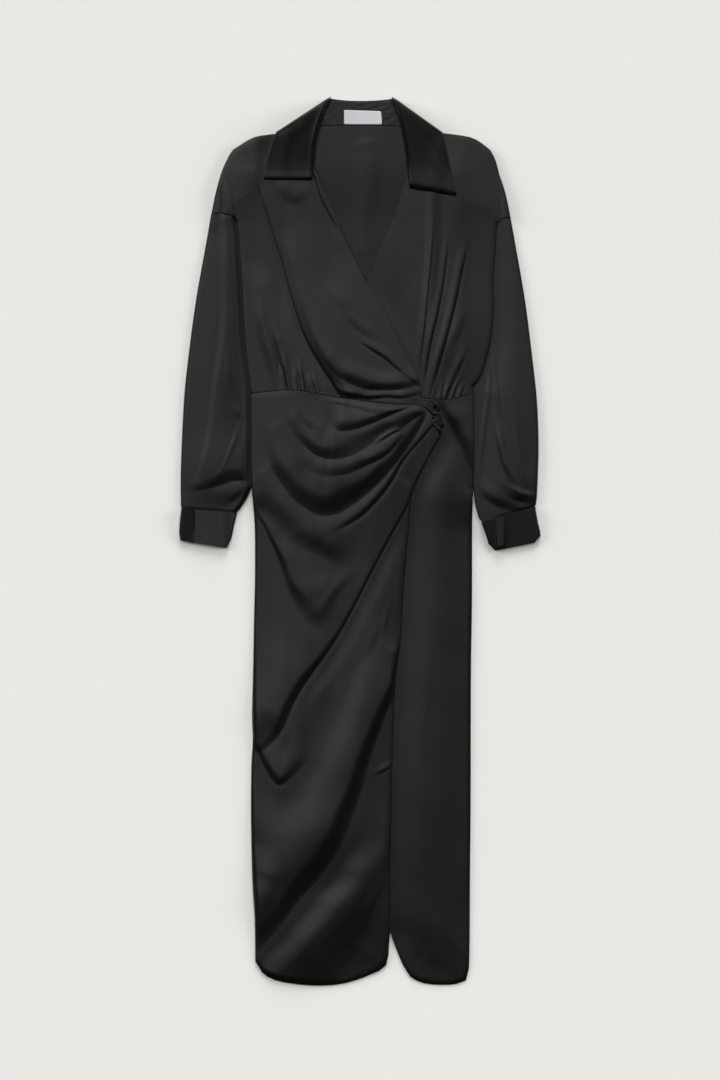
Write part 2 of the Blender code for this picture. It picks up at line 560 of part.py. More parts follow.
def under_points(xy):
    """Height of the highest thing under the collar's points, near each place."""
    best = np.zeros(len(xy))
    for turn in np.arange(9) * 2 * pi / 8:
        reach = 0.0 if turn > 6 else 6.0
        near = xy + reach * np.array([cos(turn), sin(turn)])
        for name, height in (("over_bodice", over_bodice), ("under_bodice", under_bodice)):
            here = inside(OUTLINES[name], near)
            best = np.maximum(best, np.where(here, height(near) + CLOTH, 0))
    stand = (np.abs(xy[:, 0] - 2) < 66) & (xy[:, 1] > 612)
    return np.where(stand, np.maximum(best, 2 * DOUBLE + 2 * GAP), best)


def point_section(section, share, flank=0.0):
    """One section of the collar's middle surface, from the roll to the edge."""
    a, b = ends(section)
    at = a + share[:, None] * (b - a)
    lift = ROLL * (1 - flank) * np.sin(pi * share**0.42)
    z = under_points(at) + 0.75 + DOUBLE / 2
    high = DOUBLE / 2 + 2 * TURN
    return np.column_stack([at, (1 - flank) * (z + lift) + flank * high])


def turned(flank, angle, share):
    a, b = ends(flank)
    way = (b - a) / np.linalg.norm(b - a)
    out = np.array([way[1], -way[0]])
    out = out * (1 if out[1] > 0 else -1)
    at = a + share[:, None] * (b - a) + out * TURN * (cos(angle) - 1)
    return np.column_stack([at, np.full(len(share), DOUBLE / 2 + TURN + TURN * sin(angle))])


def collar_fall():
    share = np.array([0, 0.03, 0.09, 0.18, 0.32, 0.5, 0.7, 0.86, 1.0])
    flanks = [0, 0, 0, 0, 0.15, 0.6]
    rows = [point_section(s, share, f) for s, f in zip(LEFT_POINT, flanks)]
    rows += [turned(LEFT_FLANK, angle, share) for angle in (pi / 2, pi / 4, 0, -pi / 4, -pi / 2)]
    rows += [np.column_stack([ends(s)[0] + share[:, None] * (ends(s)[1] - ends(s)[0]),
                              np.full(len(share), DOUBLE / 2)]) for s in BACK_LEAF]
    rows += [turned(RIGHT_FLANK, angle, share) for angle in (-pi / 2, -pi / 4, 0, pi / 4, pi / 2)]
    rows += [point_section(s, share, f) for s, f in zip(RIGHT_POINT[::-1], flanks[::-1])]
    return thick_grid("collar_fall", np.array(rows), DOUBLE)


def thick_grid(name, grid, thick):
    """A sheet given by the grid of its middle surface."""
    du, dv = np.gradient(grid, axis=0), np.gradient(grid, axis=1)
    normal = np.cross(du, dv)
    normal = normal / np.linalg.norm(normal, axis=2)[..., None]
    near, far = grid - normal * thick / 2, grid + normal * thick / 2
    n, m = grid.shape[:2]
    verts = np.vstack([near.reshape(-1, 3), far.reshape(-1, 3)])
    faces = []
    for i in range(n - 1):
        for j in range(m - 1):
            a, b, c, d = i * m + j, (i + 1) * m + j, (i + 1) * m + j + 1, i * m + j + 1
            faces += [(d, c, b, a), tuple(n * m + k for k in (a, b, c, d))]
    loop = ([(0, j) for j in range(m)] + [(i, m - 1) for i in range(1, n)]
            + [(n - 1, j) for j in range(m - 2, -1, -1)] + [(i, 0) for i in range(n - 2, 0, -1)])
    loop = [i * m + j for i, j in loop]
    for a, b in zip(loop, loop[1:] + loop[:1]):
        faces.append((b, a, n * m + a, n * m + b))
    return solid(name, verts, faces)


def plate(name, corners, low, high, cuts=1):
    """A flat piece with straight sides."""
    ring = [np.array(a) + (np.array(b) - np.array(a)) * t / cuts
            for a, b in zip(corners, corners[1:] + corners[:1]) for t in range(cuts)]
    n = len(ring)
    verts = [(x, y, low) for x, y in ring] + [(x, y, high) for x, y in ring]
    faces = [tuple(range(n))[::-1], tuple(range(n, 2 * n))]
    faces += [(i, (i + 1) % n, n + (i + 1) % n, n + i) for i in range(n)]
    return solid(name, verts, faces)


collar_fall()
STAND_LOW = DOUBLE + GAP + 0.1
plate("collar_stand", [(-52, 622.8), (0, 623.6), (54, 622.8), (42, 659.5), (2, 658.5), (-38, 659.5)],
      STAND_LOW, STAND_LOW + DOUBLE)
plate("neck_label", [(-24, 624.6), (33, 624.4), (31.5, 644), (-24, 646)], STAND_LOW + DOUBLE + GAP,
      STAND_LOW + DOUBLE + GAP + 1.0)


def waist_knot():
    """The drawn-in end of the over skirt, twisted on itself."""
    line = even(curve([(95, 209), (106, 195), (112, 179), (119, 163)], 4), 15)
    way = np.gradient(line, axis=0)
    side = np.stack([-way[:, 1], way[:, 0]], axis=1) / np.linalg.norm(way, axis=1)[:, None]
    rings = []
    for k, (at, across) in enumerate(zip(line, side)):
        t = k / 14
        size = 3.0 + 5.0 * sin(pi * (0.08 + 0.84 * t))
        ring = []
        for j in range(16):
            angle = 2 * pi * j / 16
            lobe = size * (1 + 0.2 * cos(3 * angle - 2 * pi * 1.4 * t))
            ring.append((*(at + across * lobe * cos(angle)), lobe * 0.8 * sin(angle)))
        ring = np.array(ring)
        ring[:, 2] += 2 * LAYER + CLOTH + 0.6 - ring[:, 2].min()
        rings.append(ring)
    verts = np.vstack(rings)
    faces = [tuple(range(16))[::-1], tuple(range(14 * 16, 15 * 16))]
    faces += [(k * 16 + j, k * 16 + (j + 1) % 16, (k + 1) * 16 + (j + 1) % 16, (k + 1) * 16 + j)
              for k in range(14) for j in range(16)]
    return solid("waist_knot", verts, faces)


waist_knot()

for item in list(bpy.data.objects):
    if item.name in ("Cube", "Light", "Camera"):
        bpy.data.objects.remove(item)
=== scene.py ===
"""Looks of a long-sleeved satin wrap dress with a shirt collar, laid flat on its back.

Measures are in millimetres until a mesh is made: x runs across the dress to the
viewer's right, y from the hem to the collar, z up from the floor. Left and right
are the viewer's. The dress is lit from beyond its collar, like a garment on a
studio table.
"""

from collections import namedtuple
from math import cos, pi, radians, sin

import bpy
import numpy as np
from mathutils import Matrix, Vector, kdtree
from mathutils.geometry import delaunay_2d_cdt


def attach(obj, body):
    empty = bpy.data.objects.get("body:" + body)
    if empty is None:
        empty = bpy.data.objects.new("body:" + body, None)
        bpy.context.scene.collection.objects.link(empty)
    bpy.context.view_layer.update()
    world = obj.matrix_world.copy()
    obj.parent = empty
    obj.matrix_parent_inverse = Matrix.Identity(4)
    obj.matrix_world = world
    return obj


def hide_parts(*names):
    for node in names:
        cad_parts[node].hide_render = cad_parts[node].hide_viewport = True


MM = 0.001             # metres in a millimetre
CLOTH = 1.2            # from the underside of a layer to its face, air included
DOUBLE = 1.6           # the same for collar, stand and cuffs
GAP = 0.3              # between layers
LAYER = CLOTH + GAP
WALL = 0.7             # the shell itself
SEAM = 0.3             # between the edges of pieces that are sewn together
LAP = 1.8              # how far the bodice and the cuffs cover the ends of the sleeves
MIDDLE = (-0.6, -0.9)  # of the whole dress, which is the part's origin

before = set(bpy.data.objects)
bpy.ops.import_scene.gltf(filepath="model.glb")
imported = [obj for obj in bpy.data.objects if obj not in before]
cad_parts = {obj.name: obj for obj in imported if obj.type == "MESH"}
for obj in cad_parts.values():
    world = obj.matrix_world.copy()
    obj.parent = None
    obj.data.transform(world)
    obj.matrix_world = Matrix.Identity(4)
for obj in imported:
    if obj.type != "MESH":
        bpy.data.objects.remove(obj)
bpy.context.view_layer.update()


# ---------------------------------------------------------------- lines

def between(a, b, c, d, t):
    """The place a share t of the way from b to c, on a smooth line through all four."""
    return 0.5 * (2 * b + (c - a) * t + (2 * a - 5 * b + 4 * c - d) * t**2 + (3 * b - a - 3 * c + d) * t**3)


def curve(points, step=12.0):
    """Points about a step apart on a smooth line through the given ones."""
    p = np.array(points, float)
    longer = np.vstack([2 * p[0] - p[1], p, 2 * p[-1] - p[-2]])
    out = []
    for a, b, c, d in zip(longer, longer[1:], longer[2:], longer[3:]):
        count = max(1, int(round(np.linalg.norm(c - b) / step)))
        out += [between(a, b, c, d, t) for t in np.arange(count) / count]
    return np.array(out + [p[-1]])


def steps_of(line):
    return np.linalg.norm(np.diff(line, axis=0), axis=1)


def run_of(line):
    """How far along a line each of its points is."""
    return np.concatenate([[0], np.cumsum(steps_of(line))])


def left_of(line):
    """The direction to the left of a line, at each of its points."""
    way = np.gradient(line, axis=0)
    return np.stack([-way[:, 1], way[:, 0]], axis=1) / np.linalg.norm(way, axis=1)[:, None]


def even(line, count):
    """The line again, as count points evenly spaced along it."""
    run = run_of(line)
    at = np.linspace(0, run[-1], count)
    return np.stack([np.interp(at, run, line[:, k]) for k in range(line.shape[1])], axis=1)


def finer(line, step):
    """The line again, with points about a step apart and its own points kept."""
    out = []
    for a, b in zip(line[:-1], line[1:]):
        count = max(1, int(round(np.linalg.norm(b - a) / step)))
        out += [a + (b - a) * t / count for t in range(count)]
    return np.array(out + [line[-1]])


def join(*lines):
    """One closed outline from lines that follow each other, without points closer than 0.8 mm."""
    points = np.vstack([np.array(line, float) for line in lines])
    keep = np.linalg.norm(points - np.roll(points, 1, axis=0), axis=1) > 0.8
    return points[keep]


def closed(outline):
    """An outline with its first point again at its end."""
    return np.vstack([outline, outline[:1]])


BLEND = 9            # mm: stretches of a line that are about as near share a point's place along it


def nearest(line, xy):
    """Signed distance to a line, its left positive, and the share of the way along it."""
    a, ab = line[:-1], np.diff(line, axis=0)
    length = np.linalg.norm(ab, axis=1)
    run = run_of(line)
    ap = xy[:, None, :] - a[None]
    t = np.clip((ap * ab).sum(2) / length**2, 0, 1)
    off = ap - t[..., None] * ab
    far = np.hypot(off[..., 0], off[..., 1])
    k = far.argmin(1)
    row = np.arange(len(xy))
    side = ab[k, 0] * ap[row, k, 1] - ab[k, 1] * ap[row, k, 0]
    weight = np.exp((far[row, k][:, None] - far) / BLEND)
    along = ((run[:-1] + t * length) * weight).sum(1) / weight.sum(1) / run[-1]
    return np.where(side < 0, -1, 1) * far[row, k], along


def beside(line, xy):
    """nearest(), worked out a few thousand points at a time."""
    parts = [nearest(line, xy[i:i + 4000]) for i in range(0, len(xy), 4000)]
    return np.concatenate([p[0] for p in parts]), np.concatenate([p[1] for p in parts])


def inside(outline, xy):
    """Which points are inside a closed outline."""
    a, b = outline, np.roll(outline, -1, axis=0)
    x, y = xy[:, :1], xy[:, 1:]
    crosses = (a[:, 1] > y) != (b[:, 1] > y)
    rise = np.where(b[:, 1] == a[:, 1], 1, b[:, 1] - a[:, 1])
    at = a[:, 0] + (y - a[:, 1]) / rise * (b[:, 0] - a[:, 0])
    return (crosses & (x < at)).sum(1) % 2 == 1


def into(outline, xy):
    """How far points are inside a closed outline."""
    far = np.abs(beside(closed(outline), xy)[0])
    return np.where(inside(outline, xy), far, -far)


def ease(low, high, v):
    """0 up to low, 1 from high on, smooth between."""
    t = np.clip((np.asarray(v, float) - low) / (high - low), 0, 1)
    return t * t * (3 - 2 * t)


# ---------------------------------------------------------------- folds

# A fold's line is its valley, and the fold rises on the left of the line as it
# runs: over `fall` to its crest, and from there it sinks again over `back`. size
# and wide are the shares of the height and of the fall's width along the line.
# sharp is how much the fall steepens towards the valley, and lip how deep the
# valley is below the cloth on its other side.
Fold = namedtuple("Fold", "line high fall back size wide sharp lip",
                  defaults=((0.2, 1.0, 1.0, 0.2), (1.0, 1.0), 0.8, 0.3))


def along_line(values, along):
    """Values given at even shares of a line, with smooth steps between them."""
    at = along * (len(values) - 1)
    k = np.minimum(at.astype(int), len(values) - 2)
    t = at - k
    values = np.array(values)
    return values[k] + (values[k + 1] - values[k]) * t * t * (3 - 2 * t)


FOLD_STEP = 8        # between the points of a fold's line
FADE = 22.0          # how far past its line's ends a fold runs out


def half_wave(share):
    """1 at 0, down to 0 at 1, level at both ends."""
    return 0.5 + 0.5 * np.cos(pi * share)


def fold_height(fold, xy):
    """How much one fold lifts the cloth at each place."""
    line = curve(fold.line, FOLD_STEP)
    first, last = line[0] - line[1], line[-1] - line[-2]
    line = np.vstack([line[0] + FADE * first / np.linalg.norm(first), line,
                      line[-1] + FADE * last / np.linalg.norm(last)])
    widest = fold.fall * max(fold.wide)
    reach = widest + max(fold.back, widest)
    near = ((xy > line.min(0) - reach) & (xy < line.max(0) + reach)).all(1)
    out = np.zeros(len(xy))
    if not near.any():
        return out
    off, run = beside(line, xy[near])
    long = steps_of(line).sum()
    run = run * long - FADE
    long = long - 2 * FADE
    past = np.maximum(-run, run - long)
    along = np.clip(run / long, 0, 1)
    fall = fold.fall * along_line(fold.wide, along)
    u = np.clip(off / fall, 0, 1)
    rise = (1 - fold.sharp) * half_wave(1 - u) + fold.sharp * (1 - (1 - u)**2)
    back = half_wave(np.clip((off - fall) / fold.back, 0, 1))
    beyond = -fold.lip * (1 - np.clip(-off / (0.9 * fall), 0, 1))**2
    size = along_line(fold.size, along) * (1 - ease(0, 0.9 * FADE, past))
    front = np.where(off > 0, (1 + fold.lip) * rise - fold.lip, beyond)
    out[near] = fold.high * size * np.where(off > fall, back, front)
    return out


ROW_STEP = 1.9       # between points of a row along a fold
ROW_BESIDE = 1.3     # from a fold's valley to the row on each side of it
NARROW = 18          # a fold that falls over less than this has rows on its fall too


def fold_rows(folds):
    """Rows of points along the folds' valleys and narrow falls, so that they stay crisp."""
    rows = []
    for fold in folds:
        line = curve(fold.line, FOLD_STEP)
        line = even(line, int(steps_of(line).sum() / ROW_STEP) + 2)
        left = left_of(line)
        fall = fold.fall * along_line(fold.wide, np.linspace(0, 1, len(line)))
        rows += [line + left * off for off in (0.0, -ROW_BESIDE, ROW_BESIDE)]
        if fold.fall < NARROW:
            rows += [line + left * (share * fall)[:, None] for share in (0.35, 0.65, 1.0)]
    return rows


def folded(folds, xy):
    """How much all of a piece's folds lift it."""
    return sum((fold_height(fold, xy) for fold in folds), np.zeros(len(xy)))


# A gather starts at x, y on its seam, is long and leans so far to the right at its end.
Gather = namedtuple("Gather", "x y long lean high wide")


def gather_folds(gathers):
    """Short ridges that fan up from a gathered seam and sink away."""
    return [Fold([(g.x, g.y), (g.x + g.lean * 0.5, g.y + g.long * 0.5), (g.x + g.lean, g.y + g.long)],
                 g.high, g.wide, g.wide, size=(1.0, 0.7, 0.0), sharp=0.3, lip=0.2) for g in gathers]


WAVES = 7            # that cross each other in a ripple


def ripple(xy, seed, wave, high):
    """Slow unevenness of cloth that has been handled: a few crossing waves."""
    some = np.random.default_rng(seed)
    out = np.zeros(len(xy))
    for _ in range(WAVES):
        turn = some.uniform(0, pi)
        length = wave * some.uniform(0.6, 1.6)
        run = xy[:, 0] * cos(turn) + xy[:, 1] * sin(turn)
        out += np.sin(run * 2 * pi / length + some.uniform(0, 2 * pi))
    return high * out / WAVES**0.5


# ---------------------------------------------------------------- meshes

CREASE = 45          # degrees: edges that turn more than this look sharp


def piece(name, verts, faces, finish):
    """A mesh object in metres in the part's frame, with a flat UV in metres."""
    verts = np.asarray(verts, float) - (*MIDDLE, 0)
    mesh = bpy.data.meshes.new(name)
    mesh.from_pydata((verts * MM).tolist(), [], [tuple(int(i) for i in f) for f in faces])
    mesh.validate()
    mesh.materials.append(finish)
    layer = mesh.uv_layers.new(name="cloth")
    corner = np.empty(len(mesh.loops), np.int32)
    mesh.loops.foreach_get("vertex_index", corner)
    layer.data.foreach_set("uv", (verts[corner][:, :2] * MM + 1).astype(np.float32).ravel())
    mesh.polygons.foreach_set("use_smooth", np.ones(len(mesh.polygons), bool))
    mesh.set_sharp_from_angle(angle=radians(CREASE))
    made = bpy.data.objects.new(name, mesh)
    bpy.context.scene.collection.objects.link(made)
    return made


ROLL_ROWS = (0.3, 0.8, 1.5, 2.6)  # rows of points round the rolled rim of a panel
RIM_STEP = 3.0       # at most, between points of a rim
ROLL_DROP = 0.85     # how much of a full quarter round the rolled rim comes down
THINNEST = 0.12      # the shell at its rim


def clear_of(spots, group, room):
    """The points of a group that are farther than room from the spots so far."""
    known = np.vstack(spots)
    tree = kdtree.KDTree(len(known))
    for i, p in enumerate(known):
        tree.insert((p[0], p[1], 0), i)
    tree.balance()
    far = np.array([tree.find((p[0], p[1], 0))[2] for p in group])
    return group[far > room]


def panel_points(outline, pitch, rows):
    """Points to make a panel's faces of, and how many of them are its rim: the rim,
    rows beside it, the rows along folds, and a lattice of equal triangles between."""
    rim = finer(closed(outline), min(pitch, RIM_STEP))[:-1]
    ring = closed(rim)
    a, b = outline, np.roll(outline, -1, axis=0)
    turns = np.sign((a[:, 0] * b[:, 1] - a[:, 1] * b[:, 0]).sum())
    spots = [rim]
    for off in ROLL_ROWS:
        row = (ring + turns * off * left_of(ring))[:-1]
        spots.append(row[into(outline, row) > off * 0.93])
    low, high = outline.min(0), outline.max(0)
    ys = np.arange(low[1], high[1], pitch * 0.87)
    lattice = np.array([(x + (pitch / 2 if j % 2 else 0), y)
                        for j, y in enumerate(ys) for x in np.arange(low[0], high[0], pitch)])
    for group, room in ([(np.vstack(rows), 0.9)] if rows else []) + [(lattice, pitch * 0.55)]:
        group = group[into(outline, group) > ROLL_ROWS[-1] + room]
        spots.append(clear_of(spots, group, room))
    return np.vstack(spots), len(rim)


def panel_faces(spots, count):
    """The points joined by triangles that all face up, within the rim of the first count."""
    flat, _, faces, *_ = delaunay_2d_cdt(
        spots.tolist(), [(i, (i + 1) % count) for i in range(count)], [], 1, 1e-4)
    xy = np.array([tuple(v) for v in flat])
    faces = np.array([list(f) for f in faces])
    a, b, c = (xy[faces[:, k]] for k in range(3))
    turn = (b[:, 0] - a[:, 0]) * (c[:, 1] - a[:, 1]) - (b[:, 1] - a[:, 1]) * (c[:, 0] - a[:, 0])
    faces[turn < 0] = faces[turn < 0][:, ::-1]
    return xy, faces.tolist()


def shell(name, outline, height, pitch, finish, rows=(), wall=WALL, thick=CLOTH, roll=0.6):
    """Cloth within an outline, over the height that the function gives, with a rolled rim."""
    spots, count = panel_points(outline, pitch, rows)
    ring = closed(spots[:count])
    xy, faces = panel_faces(spots, count)
    depth = np.abs(beside(ring, xy)[0])
    depth[:count] = 0
    fall = roll - np.sqrt(np.maximum(roll**2 - np.clip(roll - depth, 0, roll)**2, 0))
    base = height(xy)
    top = base + thick - ROLL_DROP * fall
    under = np.minimum(base + thick - wall, top - THINNEST)
    n = len(xy)
    edges = {edge: True for a, b, c in faces for edge in ((a, b), (b, c), (c, a))}
    walls = [(j, i, i + n, j + n) for i, j in edges if (j, i) not in edges]
    verts = np.vstack([np.column_stack([xy, top]), np.column_stack([xy, under])])
    return piece(name, verts, faces + [(a + n, c + n, b + n) for a, b, c in faces] + walls, finish)


def loft(rings):
    """Vertices and faces of closed rings joined end to end, the last to the first."""
    count = len(rings[0])
    verts = np.vstack(rings)
    faces = []
    for r in range(len(rings)):
        s = (r + 1) % len(rings)
        for i in range(count):
            j = (i + 1) % count
            faces.append((r * count + i, r * count + j, s * count + j, s * count + i))
    return verts, faces


# A tube's end is drawn in to go under or into another piece: over so long, to
# between low and high, and in by side at each side.
Tuck = namedtuple("Tuck", "long low high side")
Crown = namedtuple("Crown", "x wide high")  # a bulge of a tube's first end, in its length

TUBE_LOW = 0.15      # its underside, above the floor
TUBE_SIDE = 2.6      # the width over which its side is round
TUBE_UNDER = 12      # points across its underside
NO_CROWN = Crown(0, 1, 0)


def tube(name, left, right, top, stations, across, finish, thick=WALL, crown=NO_CROWN, tucks=()):
    """A flattened tube of cloth between two side lines, flat underneath, with soft sides."""
    left, right = even(left, stations), even(right, stations)
    run = steps_of((left + right) / 2).sum() / (stations - 1)
    near = np.array([0, 0.25, 0.8, 1.6, 2.6, 4.0])
    outer, inner = [], []
    for v, (a, b) in enumerate(zip(left, right)):
        drawn, floor_z, roof_z = 0.0, TUBE_LOW, None
        for tuck, steps in zip(tucks, (v, stations - 1 - v)):
            if tuck and steps * run < tuck.long:
                drawn = 1 - float(ease(LAP, tuck.long, steps * run))
                floor_z, roof_z = TUBE_LOW + drawn * (tuck.low - TUBE_LOW), tuck.high
                inward = drawn * tuck.side * (b - a) / np.linalg.norm(b - a)
                a, b = a + inward, b - inward
        wide = np.linalg.norm(b - a)
        over = np.concatenate([near / wide, np.linspace(6 / wide, 1 - 6 / wide, across), 1 - near[::-1] / wide])
        below = np.linspace(2 / wide, 1 - 2 / wide, TUBE_UNDER)
        below = np.concatenate([[0.4 / wide], below, [1 - 0.4 / wide]])
        bulge = crown.high * max(0, 1 - 27 * v / stations)
        for ring, skin in ((outer, 0.0), (inner, thick)):
            shut = skin / wide
            places = []
            for share in (over, below):
                at = a + (shut + (1 - 2 * shut) * share[:, None]) * (b - a)
                at[:, 1] += bulge * np.exp(-((at[:, 0] - crown.x) / crown.wide)**2)
                places.append(at)
            full = top(places[0])
            if roof_z is not None:
                full = full + drawn * (np.minimum(full, roof_z) - full)
            depth = np.minimum(over, 1 - over) * wide
            round_off = np.sqrt(1 - (1 - np.clip(depth / TUBE_SIDE, 0, 1))**2)
            middle = floor_z + thick + 0.5 * (1 - drawn)
            high_z = middle + (full - middle) * round_off - skin * round_off
            low_z = np.full(len(below), floor_z + skin)
            ring.append(np.vstack([np.column_stack([places[1], low_z]),
                                   np.column_stack([places[0], high_z])[::-1]]))
    verts, faces = loft(outer + inner[::-1])
    return piece(name, verts, faces, finish)


# ---------------------------------------------------------------- finishes

def linear(code):
    """A hex colour as Blender's linear numbers."""
    parts = [int(code[i:i + 2], 16) / 255 for i in (1, 3, 5)]
    return (*(c / 12.92 if c <= 0.04045 else ((c + 0.055) / 1.055)**2.4 for c in parts), 1.0)


def node(tree, kind, values=(), links=(), **settings):
    """Adds a node, sets its properties and input values, and links its inputs."""
    made = tree.nodes.new(kind)
    for key, value in settings.items():
        setattr(made, key, value)
    for key, value in dict(values).items():
        made.inputs[key].default_value = value
    for key, socket in dict(links).items():
        tree.links.new(socket, made.inputs[key])
    return made


def material(name):
    """A new material and its empty node tree."""
    made = bpy.data.materials.new(name)
    made.use_nodes = True
    made.node_tree.nodes.clear()
    return made, made.node_tree


def woven_satin(name, dark, light, rough, specular):
    """Polyester satin: long floats of filament lie side by side, so it is smooth
    and glossy without being a mirror, and shines more across the floats than
    along them."""
    made, tree = material(name)
    uv = node(tree, "ShaderNodeUVMap", uv_map="cloth")
    # floats are 0.15 mm apart in the cloth: drawn at 0.5 mm so that they can show
    floats = node(tree, "ShaderNodeMapping", {"Scale": (2000, 110, 1)}, {"Vector": uv.outputs["UV"]})
    grain = node(tree, "ShaderNodeTexNoise", {"Scale": 1.0, "Detail": 1.0, "Roughness": 0.5},
                 {"Vector": floats.outputs["Vector"]}, noise_dimensions="2D")
    slow = node(tree, "ShaderNodeTexNoise", {"Scale": 16.0, "Detail": 2.0, "Roughness": 0.5},
                {"Vector": uv.outputs["UV"]}, noise_dimensions="2D")
    # uneven pressing: patches some 60 mm across are a little duller
    gloss = node(tree, "ShaderNodeMapRange", {"To Min": rough - 0.03, "To Max": rough + 0.04},
                 {"Value": slow.outputs["Fac"]})
    tint = node(tree, "ShaderNodeMix", {"A": linear(dark), "B": linear(light)},
                {"Factor": grain.outputs["Fac"]}, data_type="RGBA")
    bump = node(tree, "ShaderNodeBump", {"Strength": 0.10, "Distance": 0.0002},
                {"Height": grain.outputs["Fac"]})
    along = node(tree, "ShaderNodeTangent", direction_type="UV_MAP", uv_map="cloth")
    shader = node(tree, "ShaderNodeBsdfPrincipled",
                  {"IOR": 1.5, "Specular IOR Level": specular, "Anisotropic": 0.35,
                   "Sheen Weight": 0.04, "Sheen Roughness": 0.4},
                  {"Base Color": tint.outputs["Result"], "Roughness": gloss.outputs["Result"],
                   "Normal": bump.outputs["Normal"], "Tangent": along.outputs["Tangent"]})
    node(tree, "ShaderNodeOutputMaterial", links={"Surface": shader.outputs["BSDF"]})
    return made


def label_tape(name):
    """Woven damask tape: a close white weave with a faint rib."""
    made, tree = material(name)
    uv = node(tree, "ShaderNodeUVMap", uv_map="cloth")
    ribs = node(tree, "ShaderNodeMapping", {"Scale": (1400, 2600, 1)}, {"Vector": uv.outputs["UV"]})
    weave = node(tree, "ShaderNodeTexNoise", {"Scale": 1.0, "Detail": 1.0},
                 {"Vector": ribs.outputs["Vector"]}, noise_dimensions="2D")
    tint = node(tree, "ShaderNodeMix", {"A": linear("#d9d9e0"), "B": linear("#e6e6eb")},
                {"Factor": weave.outputs["Fac"]}, data_type="RGBA")
    bump = node(tree, "ShaderNodeBump", {"Strength": 0.15, "Distance": 0.0002},
                {"Height": weave.outputs["Fac"]})
    shader = node(tree, "ShaderNodeBsdfPrincipled",
                  {"IOR": 1.5, "Roughness": 0.6, "Specular IOR Level": 0.3, "Sheen Weight": 0.1},
                  {"Base Color": tint.outputs["Result"], "Normal": bump.outputs["Normal"]})
    node(tree, "ShaderNodeOutputMaterial", links={"Surface": shader.outputs["BSDF"]})
    return made


def thread(name, dark, light):
    """Spun polyester sewing thread: matt, twisted."""
    made, tree = material(name)
    place = node(tree, "ShaderNodeTexCoord")
    twist = node(tree, "ShaderNodeTexNoise", {"Scale": 900.0, "Detail": 1.0},
                 {"Vector": place.outputs["Object"]})
    tint = node(tree, "ShaderNodeMix", {"A": linear(dark), "B": linear(light)},
                {"Factor": twist.outputs["Fac"]}, data_type="RGBA")
    shader = node(tree, "ShaderNodeBsdfPrincipled",
                  {"IOR": 1.5, "Roughness": 0.6, "Specular IOR Level": 0.3},
                  {"Base Color": tint.outputs["Result"]})
    node(tree, "ShaderNodeOutputMaterial", links={"Surface": shader.outputs["BSDF"]})
    return made


SATIN = woven_satin("woven black satin", "#0c0b0a", "#100f0e", 0.26, 0.5)
SATIN_DOUBLE = woven_satin("woven black satin, interlined", "#0d0c0b", "#11100f", 0.28, 0.5)
LABEL = label_tape("woven damask tape")
BLACK_THREAD = thread("spun black thread", "#121211", "#232220")
WHITE_THREAD = thread("spun white thread", "#cfcfd4", "#e4e4e8")


# ---------------------------------------------------------------- camera, light and floor

CAMERA_PLACE = (0.0, 1.5)  # mm: what it looks straight down at
CAMERA_HEIGHT = 8.1        # m
PALE = "#e9e8e4"           # the floor's paper, and the room behind it

scene = bpy.context.scene
camera = bpy.data.objects.new("camera", bpy.data.cameras.new("camera"))
camera.data.lens, camera.data.sensor_width = 180, 36
camera.location = (*((place - middle) * MM for place, middle in zip(CAMERA_PLACE, MIDDLE)), CAMERA_HEIGHT)
scene.collection.objects.link(camera)
scene.camera = camera
scene.view_settings.view_transform = "Standard"

# The key light comes from beyond the collar and from both its sides, and is too
# soft and low for the satin to mirror it. turn is in degrees from the collar's
# end towards the viewer's right.
Sun = namedtuple("Sun", "name turn strength")
SUNS = [Sun("key light", 6, 4.1), Sun("left key light", -68, 2.65), Sun("right key light", 76, 2.4)]
SUN_TILT = radians(77)     # from overhead
SUN_SPREAD = radians(24)   # how wide each is in the sky, which softens its shadows

for name, turn, strength in SUNS:
    sun = bpy.data.objects.new(name, bpy.data.lights.new(name, "SUN"))
    sun.data.energy = strength
    sun.data.angle = SUN_SPREAD
    sun.visible_glossy = False
    low = sin(SUN_TILT)
    towards = Vector((sin(radians(turn)) * low, cos(radians(turn)) * low, cos(SUN_TILT)))
    sun.rotation_euler = towards.to_track_quat("Z", "Y").to_euler()
    scene.collection.objects.link(sun)


# The bank of light overhead, as the edges where it starts and stops: over X and Y
# of the direction that the satin mirrors, from low to high, with its strength there.
BANK_STARTS = (("Y", -0.25, 0.22, 0.0, 0.86), ("Y", 0.1, 0.36, 0.0, 0.24))
BANK_STOPS = (("Y", 0.62, 0.94, 1.0, 0.05), ("X", -0.95, -0.4, 0.0, 1.0), ("X", 0.35, 0.9, 1.0, 0.0),
              ("X", -0.32, 0.32, 1.4, 0.6))
DARK = 0.008               # the rest of the room
WARM_WHITE = (1.0, 0.992, 0.975, 1)


